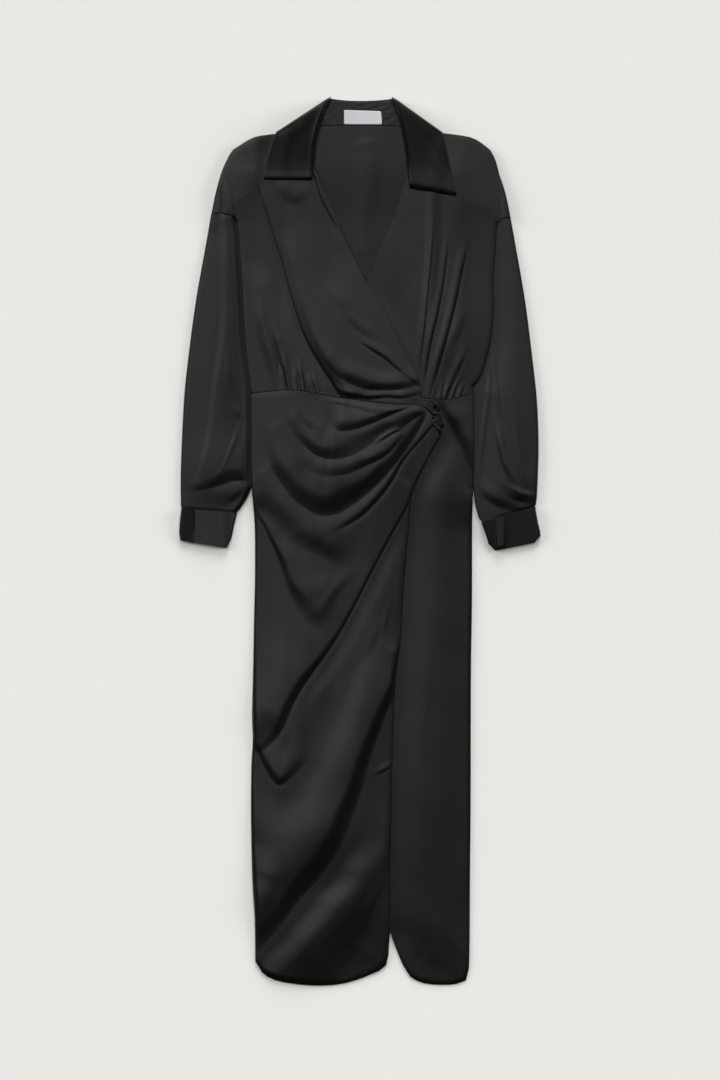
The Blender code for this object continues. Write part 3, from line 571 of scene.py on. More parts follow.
def studio():
    """Soft room light: one wide bank of light overhead, further over the collar's
    end than the hem's, and dark round about it."""
    world = bpy.data.worlds.new("studio")
    scene.world = world
    world.use_nodes = True
    tree = world.node_tree
    tree.nodes.clear()
    way = node(tree, "ShaderNodeTexCoord")
    axes = node(tree, "ShaderNodeSeparateXYZ", links={"Vector": way.outputs["Generated"]})

    def edge(axis, low, high, start, end):
        return node(tree, "ShaderNodeMapRange", {"From Min": low, "From Max": high, "To Min": start, "To Max": end},
                    {"Value": axes.outputs[axis]}, interpolation_type="SMOOTHSTEP").outputs["Result"]

    def both(operation, a, b):
        return node(tree, "ShaderNodeMath", links={0: a, 1: b}, operation=operation).outputs["Value"]

    bank = both("ADD", *(edge(*start) for start in BANK_STARTS))
    for stop in BANK_STOPS:
        bank = both("MULTIPLY", bank, edge(*stop))
    least = node(tree, "ShaderNodeMath", {1: DARK}, {0: bank}, operation="ADD")
    glow = node(tree, "ShaderNodeBackground", {"Color": WARM_WHITE}, {"Strength": least.outputs["Value"]})
    seen = node(tree, "ShaderNodeBackground", {"Color": linear(PALE), "Strength": 1.0})
    ray = node(tree, "ShaderNodeLightPath")
    mixed = node(tree, "ShaderNodeMixShader", links={
        0: ray.outputs["Is Camera Ray"], 1: glow.outputs["Background"], 2: seen.outputs["Background"]})
    node(tree, "ShaderNodeOutputWorld", links={"Surface": mixed.outputs["Shader"]})


studio()

floor_mesh = bpy.data.meshes.new("floor")
floor_mesh.from_pydata([(-15, -15, 0), (15, -15, 0), (15, 15, 0), (-15, 15, 0)], [], [(0, 1, 2, 3)])
floor = bpy.data.objects.new("floor", floor_mesh)
scene.collection.objects.link(floor)
paper, paper_tree = material("matt studio paper")
paper_shader = node(paper_tree, "ShaderNodeBsdfPrincipled",
                    {"Base Color": linear(PALE), "Roughness": 1.0, "Specular IOR Level": 0.0})
node(paper_tree, "ShaderNodeOutputMaterial", links={"Surface": paper_shader.outputs["BSDF"]})
floor_mesh.materials.append(paper)


# ---------------------------------------------------------------- outlines

WAIST_LEFT, WAIST_RIGHT = (-164, 221.5), (171, 221.5)
KNOT_END = (121.5, 157.5)

OVER_WAIST = curve([WAIST_LEFT, (-112.5, 226), (-90, 225), (-45, 217), (-15, 213), (37.5, 206.3), (93, 204)])
UNDER_WAIST = curve([(-43.5, 216), (20, 215), (96, 214), (120, 211.5), (144, 214.5), WAIST_RIGHT])

LEFT_FOLD = curve([WAIST_LEFT, (-172.5, 295), (-177.8, 385), (-183, 460), (-187.5, 488.5)])
RIGHT_FOLD = curve([WAIST_RIGHT, (169.5, 231), (176, 237), (184.5, 253), (190, 273), (196, 296), (199.5, 325),
                    (201, 351), (200, 390), (203, 425), (206, 475), (213, 486.3)])

LEFT_DROP = curve([(-187.5, 488.5), (-201, 492), (-210, 494.3), (-222.8, 491.5)])
RIGHT_DROP = curve([(213, 486.3), (225.8, 486)])
LEFT_SHOULDER = curve([(-222.8, 491.5), (-216, 523.5), (-208.5, 550.5), (-201, 568.5), (-190.5, 586.5),
                       (-175.5, 596), (-157.5, 605.5), (-126, 610.5), (-90, 615), (-56, 618)])
RIGHT_SHOULDER = curve([(225.8, 486), (217.5, 523.5), (208.5, 550.5), (204, 568.5), (195, 586.5),
                        (183, 596), (165, 605.5), (124, 611.5), (90, 615.5), (57, 618)])

OVER_NECK = curve([(-56, 618), (-70, 596), (-73.5, 572)])
OVER_EDGE = curve([(-73.5, 572), (-66.5, 558), (-55.5, 534), (-38.6, 497), (-26, 463.5), (-16.5, 439.5), (9, 391.5),
                   (34.5, 349.5), (64.5, 291), (85.5, 250.5), (91.5, 225), (93, 204)])
UNDER_NECK = curve([(57, 618), (73, 590), (76, 560)])
UNDER_EDGE = curve([(76, 560), (66, 534), (53, 491), (31.5, 440), (11.3, 389), (-15, 331), (-33, 271),
                    (-43.5, 216)])

LEFT_SLEEVE_OUT = curve([(-223.2, 491), (-230, 451), (-246, 361.5), (-258, 271.5), (-264, 211.5), (-268, 130),
                         (-269, 90), (-268.5, 46.3)])
LEFT_SLEEVE_IN = curve([(-147, 485), (-150, 420), (-154, 340), (-157, 270), (-158, 220), (-158, 110), (-161, 84),
                        (-168, 67.5), (-177.8, 51), (-185, 41)])
RIGHT_SLEEVE_OUT = curve([(225.8, 485.3), (232, 451), (247.5, 361.5), (259, 271.5), (265.5, 211.5), (268, 150),
                          (267, 100), (265, 62), (263.1, 49.8)])
RIGHT_SLEEVE_IN = curve([(153, 485.8), (158, 420), (162, 340), (165, 270), (166, 220), (166, 110), (169, 86),
                         (173, 55), (178.5, 35), (183, 26)])

LEFT_CUFF_OUT = curve([(-268.5, 48.1), (-270.8, 25), (-271.5, 13.5), (-269.4, 0.8)])
LEFT_CUFF_IN = curve([(-184.0, 42.6), (-189, 22), (-192.9, 3.6), (-199.5, -9.9)])
RIGHT_CUFF_IN = curve([(181.6, 27.6), (188, 10), (193, -5), (202.5, -14.3)])
RIGHT_CUFF_OUT = curve([(263.1, 51.5), (267, 28), (271, 8), (262, -2.7)])

OVER_SIDE = curve([(-157, -630), (-158, -565), (-161.5, -510), (-163.5, -420), (-163, -340), (-160.8, -298),
                   (-162, -260), (-160.5, -200), (-159, -120), (-157.5, -50), (-158, 25), (-161.5, 70),
                   (-163.5, 110), WAIST_LEFT], 15)
OVER_HEM = curve([(45, -583), (43.5, -605), (39, -636), (13.5, -651), (-22.5, -663), (-57, -666.5), (-95, -664.5),
                  (-127.5, -658.5), (-147, -647), (-157, -630)], 14)
OVER_FREE = curve([KNOT_END, (102, 123), (81, 80), (75.5, 50), (73.5, 18), (69, -30), (64.5, -88.5), (61.5, -145.5),
                   (54, -202.5), (50, -280), (48, -357), (46.5, -433.5), (45, -510), (45, -583)], 15)
KNOT_LINE = curve([(93, 204), (108, 190), (113.5, 177), KNOT_END], 9)
UNDER_SIDE = curve([WAIST_RIGHT, (171, 110), (168.5, 45), (168, -90), (166.5, -200), (166, -400), (165, -510),
                    (164.5, -600), (163.5, -640)], 24)
UNDER_HEM = curve([(163.5, -640), (159, -658.5), (145, -664), (123, -665.5), (96, -663), (75, -653), (64.5, -636),
                   (53, -608), (45.5, -586)], 14)
UNDER_FREE = curve([(45.5, -586), (22, -508), (3, -358), (-15, -163), (-30, 31), (-43.5, 215)], 30)
BACK_HEM = curve([(-147, -621), (-80, -588), (0, -573), (85, -590), (157, -621)], 20)
BACK_LEFT = curve([(-151, 220), (-151, 100), (-149, -50), (-151, -200), (-153, -400), (-150, -560),
                   (-147, -621)], 30)
BACK_RIGHT = curve([(157, -621), (157, -500), (158, -300), (159, -50), (159, 100), (159, 220)], 30)

OUTLINES = {
    "over_bodice": join(OVER_WAIST[::-1], LEFT_FOLD[1:-1], LEFT_DROP - (0, LAP), LEFT_SHOULDER[1:], OVER_NECK[1:],
                        OVER_EDGE[1:-1]),
    "under_bodice": join(UNDER_WAIST, RIGHT_FOLD[1:-1], RIGHT_DROP - (0, LAP), RIGHT_SHOULDER[1:], UNDER_NECK[1:],
                         UNDER_EDGE[1:-1]),
    "over_skirt": join(OVER_WAIST, KNOT_LINE[1:], OVER_FREE[1:], OVER_HEM[1:], OVER_SIDE[1:-1]),
    "under_skirt": join(UNDER_WAIST, UNDER_SIDE[1:], UNDER_HEM[1:], UNDER_FREE[1:-1]),
    "back_skirt": join([(-151, 220), (0, 218), (159, 220)], BACK_RIGHT[::-1][1:], BACK_HEM[::-1][1:],
                       BACK_LEFT[::-1][1:-1]),
    "back_bodice": join([(-151, 221), (0, 219), (159, 221)], [(156, 340), (151, 420), (146, 488)], [(190, 491)],
                        [(224, 489)], RIGHT_SHOULDER[2:-3], [(120, 604), (90, 610), (58, 619)],
                        [(42, 622.2), (0, 622.8), (-42, 622.2)], [(-58, 619), (-90, 610), (-122, 604)],
                        LEFT_SHOULDER[::-1][4:-2], [(-220.5, 494)], [(-190, 492)],
                        [(-140, 489), (-143, 420), (-147, 340)]),
}


# ---------------------------------------------------------------- folds of each piece

OVER_SKIRT_FOLDS = [
    Fold([(-48, 208.5), (-22.5, 201.8), (0, 195.8), (18, 191.2), (36, 186)], 0.7, 11, 24, (0, 1, 1, 0.6),
          (0.5, 1, 1.1), 0.5),
    Fold([(-55.5, 192), (-48, 181.5), (-39, 169.5), (-30, 164.2), (-12, 165.8), (7.5, 171.8), (30, 180.8),
          (52.5, 191.2), (75, 199.5), (91.5, 203.2)], 1.6, 15, 40, (0.2, 1, 1, 0.9, 0.5),
          (1, 1.1, 0.8, 0.5, 0.35), 0.5),
    Fold([(-91.5, 189), (-82.5, 174), (-70.5, 163.5)], 0.5, 9, 9, (0.1, 1, 0.1), (1, 1), 0.4),
    Fold([(-102, 166.5), (-90, 150), (-73.5, 133.5), (-60, 125.2), (-42, 122.2), (-27, 123.8), (-12, 128.2),
          (3, 135.8), (19.5, 147), (31.5, 157.5), (46.5, 165.8), (63, 170.2), (78, 180), (97.5, 192.8)], 2.4,
          26, 56, (0.2, 0.7, 1, 1, 0.9, 0.7, 0.4), (0.5, 0.6, 0.9, 1.1, 0.8, 0.6, 0.35), 0.5),
    Fold([(27, 145.5), (37.5, 152.2), (48, 159), (63, 165.8)], 0.7, 5, 6, (0.2, 1, 1, 0.2), (1, 1), 0.3, 0.5),
    Fold([(-90, 112.5), (-75, 104.2), (-52.5, 96.8), (-30, 98.2), (-15, 101.2), (0, 108), (18, 116.2),
          (30, 122.2), (43.5, 131.2), (57, 147)], 1.4, 17, 36, (0.05, 0.5, 0.8, 1, 1, 0.4),
          (1, 1.1, 0.9, 0.6, 0.35), 0.5),
    Fold([(-144, 151.5), (-141, 136.5), (-135, 117), (-127.5, 100.5), (-117, 84), (-103.5, 66), (-88.5, 53.2),
          (-73.5, 43.5), (-58.5, 38.2), (-43.5, 38.2), (-28.5, 42.8), (-13.5, 51.8), (1.5, 62.2), (16.5, 75),
          (31.5, 89.2), (43.5, 103.5), (55.5, 117.8), (69, 136.5), (81, 154.5), (91.5, 172.5), (100.5, 189)],
          2.9, 32, 76, (0.2, 0.8, 1, 1, 1, 0.8, 0.4), (0.6, 0.7, 1, 1.1, 0.7, 0.5, 0.3), 0.4),
    Fold([(-42, 10.5), (-27, 18.8), (-12, 27), (4.5, 38.2), (19.5, 52.5), (31.5, 66), (43.5, 81.8), (54, 99),
          (63, 116.2), (76.5, 134.2), (91.5, 150.8), (109.5, 172.5)], 1.3, 8, 22, (0.1, 0.8, 1, 1, 0.6, 0.4),
          (1, 1, 0.9, 0.7, 0.5, 0.4), 0.4),
    Fold([(-165, 79.5), (-159, 61.5), (-147, 43.5), (-132, 29.2), (-118.5, 15), (-106.5, -0.8), (-88.5, -12),
          (-67.5, -20.2), (-48, -30), (-30, -39), (-12, -37.5)], 2, 32, 55, (0.4, 1, 1, 0.9, 0),
          (0.9, 1, 1, 0.9, 0.8), 0.1, 0.1),
    Fold([(-162, 48), (-148.5, 29.2), (-135, 1.5), (-126, -18), (-118.5, -40.5), (-112.5, -60), (-103.5, -84),
          (-91.5, -106.5), (-76.5, -124.5), (-60, -133.5), (-43.5, -129)], 2.6, 22, 60,
          (0.15, 0.5, 0.9, 1, 0.7, 0), (0.15, 0.3, 0.6, 1.2, 1.4), 0.3, 0.1),
    Fold([(-135, -306), (-124.5, -295.5), (-114, -279), (-103.5, -253.5), (-90, -226.5), (-75, -204),
          (-60, -183), (-45, -162), (-30, -138), (-15, -111), (0, -82.5), (15, -52.5), (30, -24), (45, 4.5),
          (58.5, 28.5), (69, 46.5), (76.5, 64.5)], 1, 5, 100, (0.9, 2.8, 2.5, 1.5, 1, 0.9, 0.8, 0.8, 0.8),
          (2.4, 3, 2.6, 1.5, 0.9, 0.8, 0.7, 0.7, 0.7), 0.3, 0.2),
    Fold([(66, 30), (51, 0), (36, -30), (21, -60), (6, -90), (-9, -120), (-24, -147), (-39, -171),
          (-54, -193.5), (-69, -214.5), (-84, -237), (-94.5, -258)], 1.1, 22, 60, (0, 0.8, 1, 1, 0.8, 0.2),
          (0.6, 1, 1, 0.8), 0.2, 0.1),
    Fold([(21, -139.5), (-4.5, -184.5), (-28.5, -243), (-51, -301.5), (-70.5, -346.5), (-100.5, -384)], 1.7, 30,
          60, (0, 1, 1, 1, 0.3), (0.6, 1, 1, 1), 0.1, 0),
    Fold([(-171, -301.5), (-153, -310.5), (-132, -307.5), (-114, -286.5)], 1.6, 44, 40, (1, 1, 0.7, 0.3),
          (1, 1), 0.1, 0),
    Fold([(-163.5, -295.5), (-154.5, -315), (-144, -337.5), (-132, -357), (-121.5, -366), (-109.5, -360),
          (-96, -348), (-81, -331.5), (-69, -310.5)], 1.7, 12, 30, (0.6, 1, 1, 0.5, 0),
          (0.6, 0.7, 0.9, 1.3, 1.8), 0.4, 0.1),
    Fold([(-48, -343.5), (-84, -379.5), (-118.5, -382.5), (-147, -354), (-168, -310.5)], 2.2, 60, 90,
          (0, 1, 1, 0.6), (1, 1), 0, 0),
    Fold([(-171, -640.5), (-156, -622.5), (-145.5, -610.5), (-135, -597), (-120, -577.5), (-105, -558),
          (-90, -537), (-73.5, -519), (-57, -499.5), (-42, -478.5), (-28.5, -456), (-18, -432), (-7.5, -403.5),
          (3, -372), (10.5, -342), (18, -318), (25.5, -295.5), (34.5, -271.5), (43.5, -249), (55.5, -222),
          (69, -190.5)], 5.2, 36, 80, (0.2, 0.6, 0.9, 1, 1, 0.8, 0.5), (0.7, 0.7, 0.85, 0.8, 0.6, 0.45, 0.35),
          0.15, 0.05),
    Fold([(-63, -706.5), (-27, -666), (6, -610.5), (33, -556.5), (51, -499.5), (63, -445.5)], 4.2, 62, 40,
          (0.6, 1, 1, 0.8, 0.2), (1.3, 1.2, 1, 0.7, 0.35), 0, 0),
    Fold([(-156, -610.5), (-135, -574.5), (-120, -540), (-109.5, -507), (-105, -475.5)], 3.4, 36, 110,
          (0.3, 1, 1, 0.6, 0), (1, 1), 0.1, 0),
    Fold([(9, -586.5), (22.5, -543), (39, -510)], 0.4, 7, 12, (0, 1, 0)),
    Fold([(36, -148.5), (43.5, -118.5), (51, -82.5)], 0.35, 5, 8, (0, 1, 0), (1, 1), 0.3, 0.2),
    Fold([(15, -181.5), (27, -148.5), (36, -115.5)], 0.4, 8, 14, (0, 1, 0), (1, 1), 0.2, 0.1),
    Fold([(27, -351), (36, -346.5), (46.5, -340.5)], 0.5, 5, 8, (0, 1, 0.6), (1, 1), 0.3, 0.2),
]

UNDER_SKIRT_FOLDS = [
    Fold([(118.5, 205.5), (130.5, 180), (144, 151.5), (157.5, 118.5), (169.5, 81)], 3.5, 22, 52,
          (0.1, 0.8, 1, 1, 0.9), (0.5, 0.9, 1, 1), 0.5, 0.3),
    Fold([(172.5, 91.5), (171, -238.5), (171, -538.5), (171, -673.5)], 1, 60, 24, (0.2, 1, 1, 1), (1, 1), 0, 0),
]

OVER_BODICE_FOLDS = [
    Fold([(-69.8, 547.5), (-60.6, 517.5), (-52.5, 499.5), (-43.5, 483), (-33, 463.5), (-18, 438)], 1.1, 2.5, 8,
          (0.9, 1, 0.8, 0.3, 0), (1, 1), 0.3, 0.3),
    Fold([(-175.5, 586.5), (-163.5, 561), (-154.5, 534), (-147, 508.5), (-138, 478.5), (-127.5, 445.5),
          (-118.5, 417), (-111, 388.5), (-102, 357), (-91.5, 324), (-79.5, 295.5), (-67.5, 274.5), (-55.5, 255),
          (-45, 240), (-36, 225)], 0.4, 4, 9, (0.3, 0.7, 1, 1, 1.2, 1.6), (1, 1), 0.6, 0.8),
    Fold([(-154.5, 534), (-147, 508.5), (-138, 478.5), (-127.5, 445.5), (-118.5, 417), (-111, 388.5),
          (-102, 357), (-91.5, 324), (-79.5, 295.5), (-67.5, 274.5), (-55.5, 255), (-45, 240), (-36, 225)], 3,
          17, 60, (0, 0.3, 0.7, 1, 1, 0.9), (0.7, 1.2, 1), 0.3),
    Fold([(-90, 283.5), (-102, 316.5), (-112.5, 352.5), (-123, 388.5), (-135, 418.5)], 1.2, 24, 34,
          (0, 0.8, 1, 1, 0), (1, 1), 0.3, 0.1),
    Fold([(-115.5, 229.5), (-123, 271.5), (-135, 319.5), (-147, 376.5)], 1.6, 8, 16, (0.7, 1, 0.7, 0),
          (0.7, 1.2), 0.1),
    Fold([(-96, 231), (-103.5, 262.5), (-112.5, 294), (-124.5, 334.5)], 1.2, 6, 12, (0.7, 1, 0.6, 0),
          (0.7, 1.2), 0.1),
    Fold([(-4.5, 300), (15, 286.5), (37.5, 271.5), (57, 255), (76.5, 240)], 0.9, 6, 12, (0.1, 1, 1, 0.5),
          (0.7, 1, 0.7), 0.6),
    Fold([(-30, 343.5), (-16.5, 325.5), (0, 310.5), (18, 298.5)], 0.7, 10, 16, (0, 1, 0.8, 0), (1, 1), 0.4,
          0.2),
    Fold([(-57, 376.5), (-40.5, 355.5), (-22.5, 334.5)], 0.7, 14, 18, (0, 1, 0), (1, 1), 0.3, 0.1),
    Fold([(-51, 469.5), (-40.5, 445.5), (-25.5, 423)], 0.6, 10, 12, (0, 1, 0), (1, 1), 0.3, 0.1),
    Fold([(-43.5, 258), (-30, 244.5), (-12, 234), (15, 226.5), (45, 225), (64.5, 228), (81, 232.5)], 1.8, 16,
          20, (0.3, 1, 1, 0.8, 0.4), (0.9, 1.1, 0.8, 0.6), 0.5, 0.3),
    Fold([(-36, 222), (-15, 216), (12, 212.2), (42, 214.5), (63, 213), (84, 217.5)], 0.9, 6, 8,
          (0.2, 1, 1, 0.8, 0.4), (1, 1), 0.5),
    Fold([(-145.5, 517.5), (-141, 559.5), (-132, 598.5), (-121.5, 630)], 3, 26, 55, (0, 0.6, 1, 1),
          (0.4, 0.7, 1, 1.1), 0.2, 0),
    Fold([(-205.5, 493.5), (-207, 523.5), (-201, 553.5)], 0.7, 5, 8, (1, 1, 0.2), (1, 1), 0.4, 0.2),
    Fold([(-186, 492), (-190.5, 519), (-202.5, 553.5)], 0.8, 6, 16, (1, 1, 0)),
    Fold([(-132, 529.5), (-120, 514.5), (-106.5, 504), (-90, 499.5)], 1.1, 17, 26, (0, 1, 0.8, 0), (1, 1), 0.2,
          0),
]

UNDER_BODICE_FOLDS = [
    Fold([(96, 526.5), (96, 459), (94.5, 406.5), (91.5, 361.5), (87, 316.5), (85.5, 268.5)], 1.5, 12, 16,
          (1, 1, 0.8, 0.4, 0), (1, 1), 0, 0),
    Fold([(91.5, 232.5), (93, 271.5), (97.5, 316.5), (102, 361.5), (106.5, 406.5), (111, 457.5), (112.5, 504)],
          0.9, 3.2, 9, (0.3, 1, 1, 0.7, 0), (1, 1), 0.5),
    Fold([(96, 226.5), (99, 249), (106.5, 294), (115.5, 331.5), (124.5, 376.5), (130.5, 421.5), (135, 466.5)],
          1.1, 3.4, 10, (0.3, 1, 1, 0.8, 0), (1, 1), 0.5),
    Fold([(108, 220.5), (115.5, 249), (126, 286.5), (136.5, 324), (145.5, 361.5), (156, 414), (166.5, 459)],
          1.4, 4.6, 12, (0.3, 1, 1, 0.8, 0), (1, 1), 0.5),
    Fold([(136.5, 226.5), (153, 264), (165, 294)], 0.8, 6, 9, (0.8, 0.8, 0), (1, 1), 0.4),
    Fold([(142.5, 283.5), (154.5, 316.5), (165, 352.5)], 0.8, 9, 12, (0, 1, 0), (1, 1), 0, 0),
    Fold([(198, 553.5), (208.5, 523.5), (211.5, 490.5)], 1, 6, 16, (0, 1, 1)),
]

LEFT_SLEEVE_FOLDS = [
    Fold([(-213, 502.5), (-213, 436.5), (-211.5, 346.5), (-214.5, 301.5), (-222, 241.5), (-228, 181.5),
          (-235.5, 136.5), (-246, 100.5)], 1.7, 12, 50, (0.7, 1, 1, 0.9, 0.7, 0.2), (1, 1.1, 1, 0.6, 0.5), 0,
          0),
    Fold([(-207, 283.5), (-204, 253.5), (-201, 223.5)], 0.6, 6, 8, (0, 1, 0), (1, 1), 0, 0),
    Fold([(-235.5, 76.5), (-208.5, 84), (-190.5, 90), (-174, 90), (-156, 87)], 2.2, 19, 75, (0.2, 0.8, 1, 1),
          (0.7, 1.1, 1), 0.8, 0.2),
    Fold([(-202.5, 49.5), (-190.5, 58.5), (-165, 75)], 0.9, 11, 26, (0, 1, 0.8), (1, 1), 0.6, 0.1),
    Fold([(-184.5, 175.5), (-196.5, 142.5), (-208.5, 112.5), (-220.5, 94.5)], 0.5, 3.5, 7, (0.2, 1, 0.6, 0),
          (1, 1), 0.4),
    Fold([(-199.5, 199.5), (-192, 189), (-183, 180)], 0.4, 9, 10, (0, 1, 0), (1, 1), 0.1, 0),
]

RIGHT_SLEEVE_FOLDS = [
    Fold([(195, 286.5), (198, 247.5), (201, 211.5), (204, 177)], 0.8, 3.6, 7, (0.8, 1, 0), (1, 1), 0.5),
    Fold([(190.5, 283.5), (187.5, 223.5), (180, 166.5), (172.5, 106.5), (169.5, 76.5)], 0.8, 4, 8,
          (0.4, 1, 0.8, 0.2), (1, 1), 0.5),
    Fold([(198, 175.5), (205.5, 136.5), (214.5, 106.5), (225, 85.5)], 1.3, 7, 10, (0, 1, 1, 0.2), (1, 1), 0.3),
    Fold([(226.5, 199.5), (229.5, 157.5), (238.5, 112.5), (250.5, 73.5), (255, 54)], 0.6, 4, 9, (0, 1, 1, 0.4),
          (1, 1), 0.5),
    Fold([(171, 76.5), (190.5, 60), (210, 49.5), (229.5, 43.5)], 0.8, 12, 18, (0.3, 1, 0.5), (1, 1), 0.3),
    Fold([(222, 67.5), (235.5, 60), (252, 55.5)], 1.5, 13, 8, (0.1, 1, 0.3), (1, 1), 0.5),
]

BACK_BODICE_FOLDS = [
    Fold([(-12, 631.5), (-15, 571.5), (-16.5, 511.5), (-12, 444)], 0.5, 22, 26, (0, 1, 1, 0.5), (1, 1), 0, 0),
    Fold([(27, 451.5), (31.5, 511.5), (39, 571.5), (42, 624)], 0.4, 18, 24, (0.5, 1, 1, 0), (1, 1), 0, 0),
    Fold([(42, 601.5), (12, 607.5), (-21, 600)], 0.35, 10, 12, (0, 1, 0), (1, 1), 0.3),
]

COLLAR_FOLDS = [
    Fold([(-102, 541.5), (-100.5, 579), (-94.5, 619.5)], 0.9, 12, 16, (0.5, 1, 0.6), (1, 1), 0.1, 0),
    Fold([(-82.5, 649.5), (-91.5, 634.5), (-112.5, 619.5)], 0.8, 10, 14, (0.2, 1, 0.2), (1, 1), 0.1, 0),
    Fold([(115.5, 612), (106.5, 582), (96, 549)], 0.8, 15, 22, (0.5, 1, 0.5), (1, 1), 0.3, 0.1),
]

OVER_GATHERS = [
    Gather(-111, 229, 34, -5, 1.3, 4.5), Gather(-102, 229, 52, -10, 1.8, 4.5), Gather(-91, 228, 30, -3, 1.4, 5.0),
    Gather(-80, 226, 46, -7, 2.2, 5.0), Gather(-68, 223, 26, -5, 1.5, 4.5), Gather(-57, 221, 30, -10, 1.7, 4.5),
]
UNDER_GATHERS = [
    Gather(112, 215, 18, 2, 0.9, 2.6), Gather(122, 215, 26, 5, 0.9, 2.6), Gather(131, 216, 18, 4, 1.0, 2.6),
    Gather(141, 217, 24, 8, 0.9, 3.0), Gather(152, 219, 14, 5, 0.8, 3.0),
]


# ---------------------------------------------------------------- heights

BODY_EDGES = {
    "over_bodice": (LEFT_FOLD[:-1], LEFT_SHOULDER, OVER_NECK),
    "under_bodice": (RIGHT_FOLD[:-1], RIGHT_SHOULDER, UNDER_NECK),
    "over_skirt": (OVER_FREE, OVER_HEM, OVER_SIDE),
    "under_skirt": (UNDER_SIDE, UNDER_HEM),
}


def plump(piece_name, xy, high, wide):
    """Cloth rises a little from its folded and hemmed edges, and further in a little more."""
    far = np.min([np.abs(beside(line, xy)[0]) for line in BODY_EDGES[piece_name]], axis=0)
    return high * (1 - np.exp(-far / wide)) + 1.4 * ease(0, 70, far)


def handled(xy, seed, high=0.42, lean=0.0):
    """Pressed cloth that has been moved about is nowhere quite flat: slow swells,
    long in the direction that leans so many degrees from the dress's length."""
    c, s = cos(radians(lean)), sin(radians(lean))
    across, along = xy[:, 0] * c - xy[:, 1] * s, xy[:, 0] * s + xy[:, 1] * c
    return (ripple(np.column_stack([across, along * 0.25]), seed, 95, high)
            + ripple(np.column_stack([across, along * 0.35]), seed + 1, 38, high * 0.2))


# How high the cloth swells, and how high it lies over what is below it. Each is
# reached by ease() from one place to another, which are given in x, in y or in
# the distance from a line.
WAIST_HIGH = 5.4                # at the waist, where the gathers and the draped end fill it
NECK_HIGH = DOUBLE + GAP        # over the collar's back part
SLEEVE_HIGH = LAYER + 0.3       # over the inner edges of the sleeves
BACK_HIGH, FRONT_HIGH = 2.2, 2.4  # towards the shoulders
SKIRT_HIGH = 2.6                # up from the hem
RIDGE_HIGH = 2.4                # of the under skirt, down from the knot
PUFF = 1.3                      # beside a fold or a hem
LEFT_TOP, RIGHT_TOP = 488, 486  # y of the sleeves' upper ends
SLEEVE_FOOT = 75                # y above which the body lies over the sleeves
KNOT = (108, 182)

# The sleeves' inner edges, upwards, and straight on past the shoulders.
LEFT_TUCK = np.vstack([LEFT_SLEEVE_IN[::-1], (-147, 700)])
RIGHT_TUCK = np.vstack([RIGHT_SLEEVE_IN[::-1], (153, 700)])


def waist_rise(xy):
    """The gathers and the draped end make the cloth lie higher about the waist."""
    away = np.minimum(ease(-40, 200, xy[:, 1]), 1 - ease(235, 640, xy[:, 1]))
    return WAIST_HIGH * away * ease(0, 70, 168 - np.abs(xy[:, 0] - 3))


def neck_rise(xy):
    """The back of the bodice lies over the collar's back part."""
    return NECK_HIGH * ease(470, 575, xy[:, 1]) * ease(-205, -135, xy[:, 0]) * ease(-205, -135, -xy[:, 0])


def over_sleeves(xy):
    """The body's sides lie over the inner edges of the sleeves."""
    high = 0
    for line, side, top in ((LEFT_TUCK, 1, LEFT_TOP), (RIGHT_TUCK, -1, RIGHT_TOP)):
        reach = ease(SLEEVE_FOOT - 60, SLEEVE_FOOT, xy[:, 1]) * ease(-top - 115, -top, -xy[:, 1])
        high = high + SLEEVE_HIGH * ease(-42, -2, beside(line, xy)[0] * side) * reach
    return high


def under_wing(xy, side):
    """1 where the collar's point holds the cloth down at the neck."""
    return ease(540, 625, xy[:, 1]) * ease(-170, -120, side * xy[:, 0])


def back_bodice(xy):
    middle = ease(300, 600, xy[:, 1]) * ease(0, 60, 150 - np.abs(xy[:, 0]))
    return neck_rise(xy) + folded(BACK_BODICE_FOLDS, xy) + BACK_HIGH * middle


def front_base(xy):
    """What both fronts lie on."""
    return LAYER + neck_rise(xy) + over_sleeves(xy) + waist_rise(xy) + FRONT_HIGH * ease(380, 610, xy[:, 1])


def under_bodice(xy):
    clear = -beside(OVER_EDGE[::-1], xy)[0]
    puff = plump("under_bodice", xy, PUFF, 2.2) * (1 - under_wing(xy, -1))
    raised = folded(UNDER_BODICE_FOLDS + gather_folds(UNDER_GATHERS), xy) + handled(xy, 3, 0.3, 12)
    return front_base(xy) + ease(0, 60, clear) * puff + ease(2, 16, clear) * raised


def over_bodice(xy):
    on_under = beside(UNDER_EDGE, xy)[0]
    at_edge = np.abs(beside(OVER_EDGE, xy)[0])
    puff = plump("over_bodice", xy, PUFF, 2.2) * (1 - under_wing(xy, 1)) * ease(-4, 30, at_edge)
    turned_edge = 0.3 * (1 - np.exp(-at_edge))
    raised = folded(OVER_BODICE_FOLDS + gather_folds(OVER_GATHERS), xy)
    raised = raised + handled(xy, 5, 0.14, -20) * ease(0, 30, at_edge)
    return front_base(xy) + LAYER * ease(-70, -6, on_under) + puff + turned_edge + raised


def skirt_base(xy):
    """Over the back skirt, down to the floor past its hem and round its sides."""
    on_back = into(OUTLINES["back_skirt"], xy)
    side = np.minimum(xy[:, 0] - np.interp(xy[:, 1], OVER_SIDE[:, 1], OVER_SIDE[:, 0]),
                      np.interp(xy[:, 1], UNDER_SIDE[::-1, 1], UNDER_SIDE[::-1, 0]) - xy[:, 0])
    low = ease(470, 560, -xy[:, 1])
    lying = LAYER * (low * ease(-40, 30, on_back) + (1 - low) * ease(-0.5, 4.5, side))
    lying = lying + (LAYER - lying) * ease(10, 90, xy[:, 1])
    return lying + over_sleeves(xy) + waist_rise(xy) + SKIRT_HIGH * ease(-660, -330, xy[:, 1]) * ease(0, 50, side)


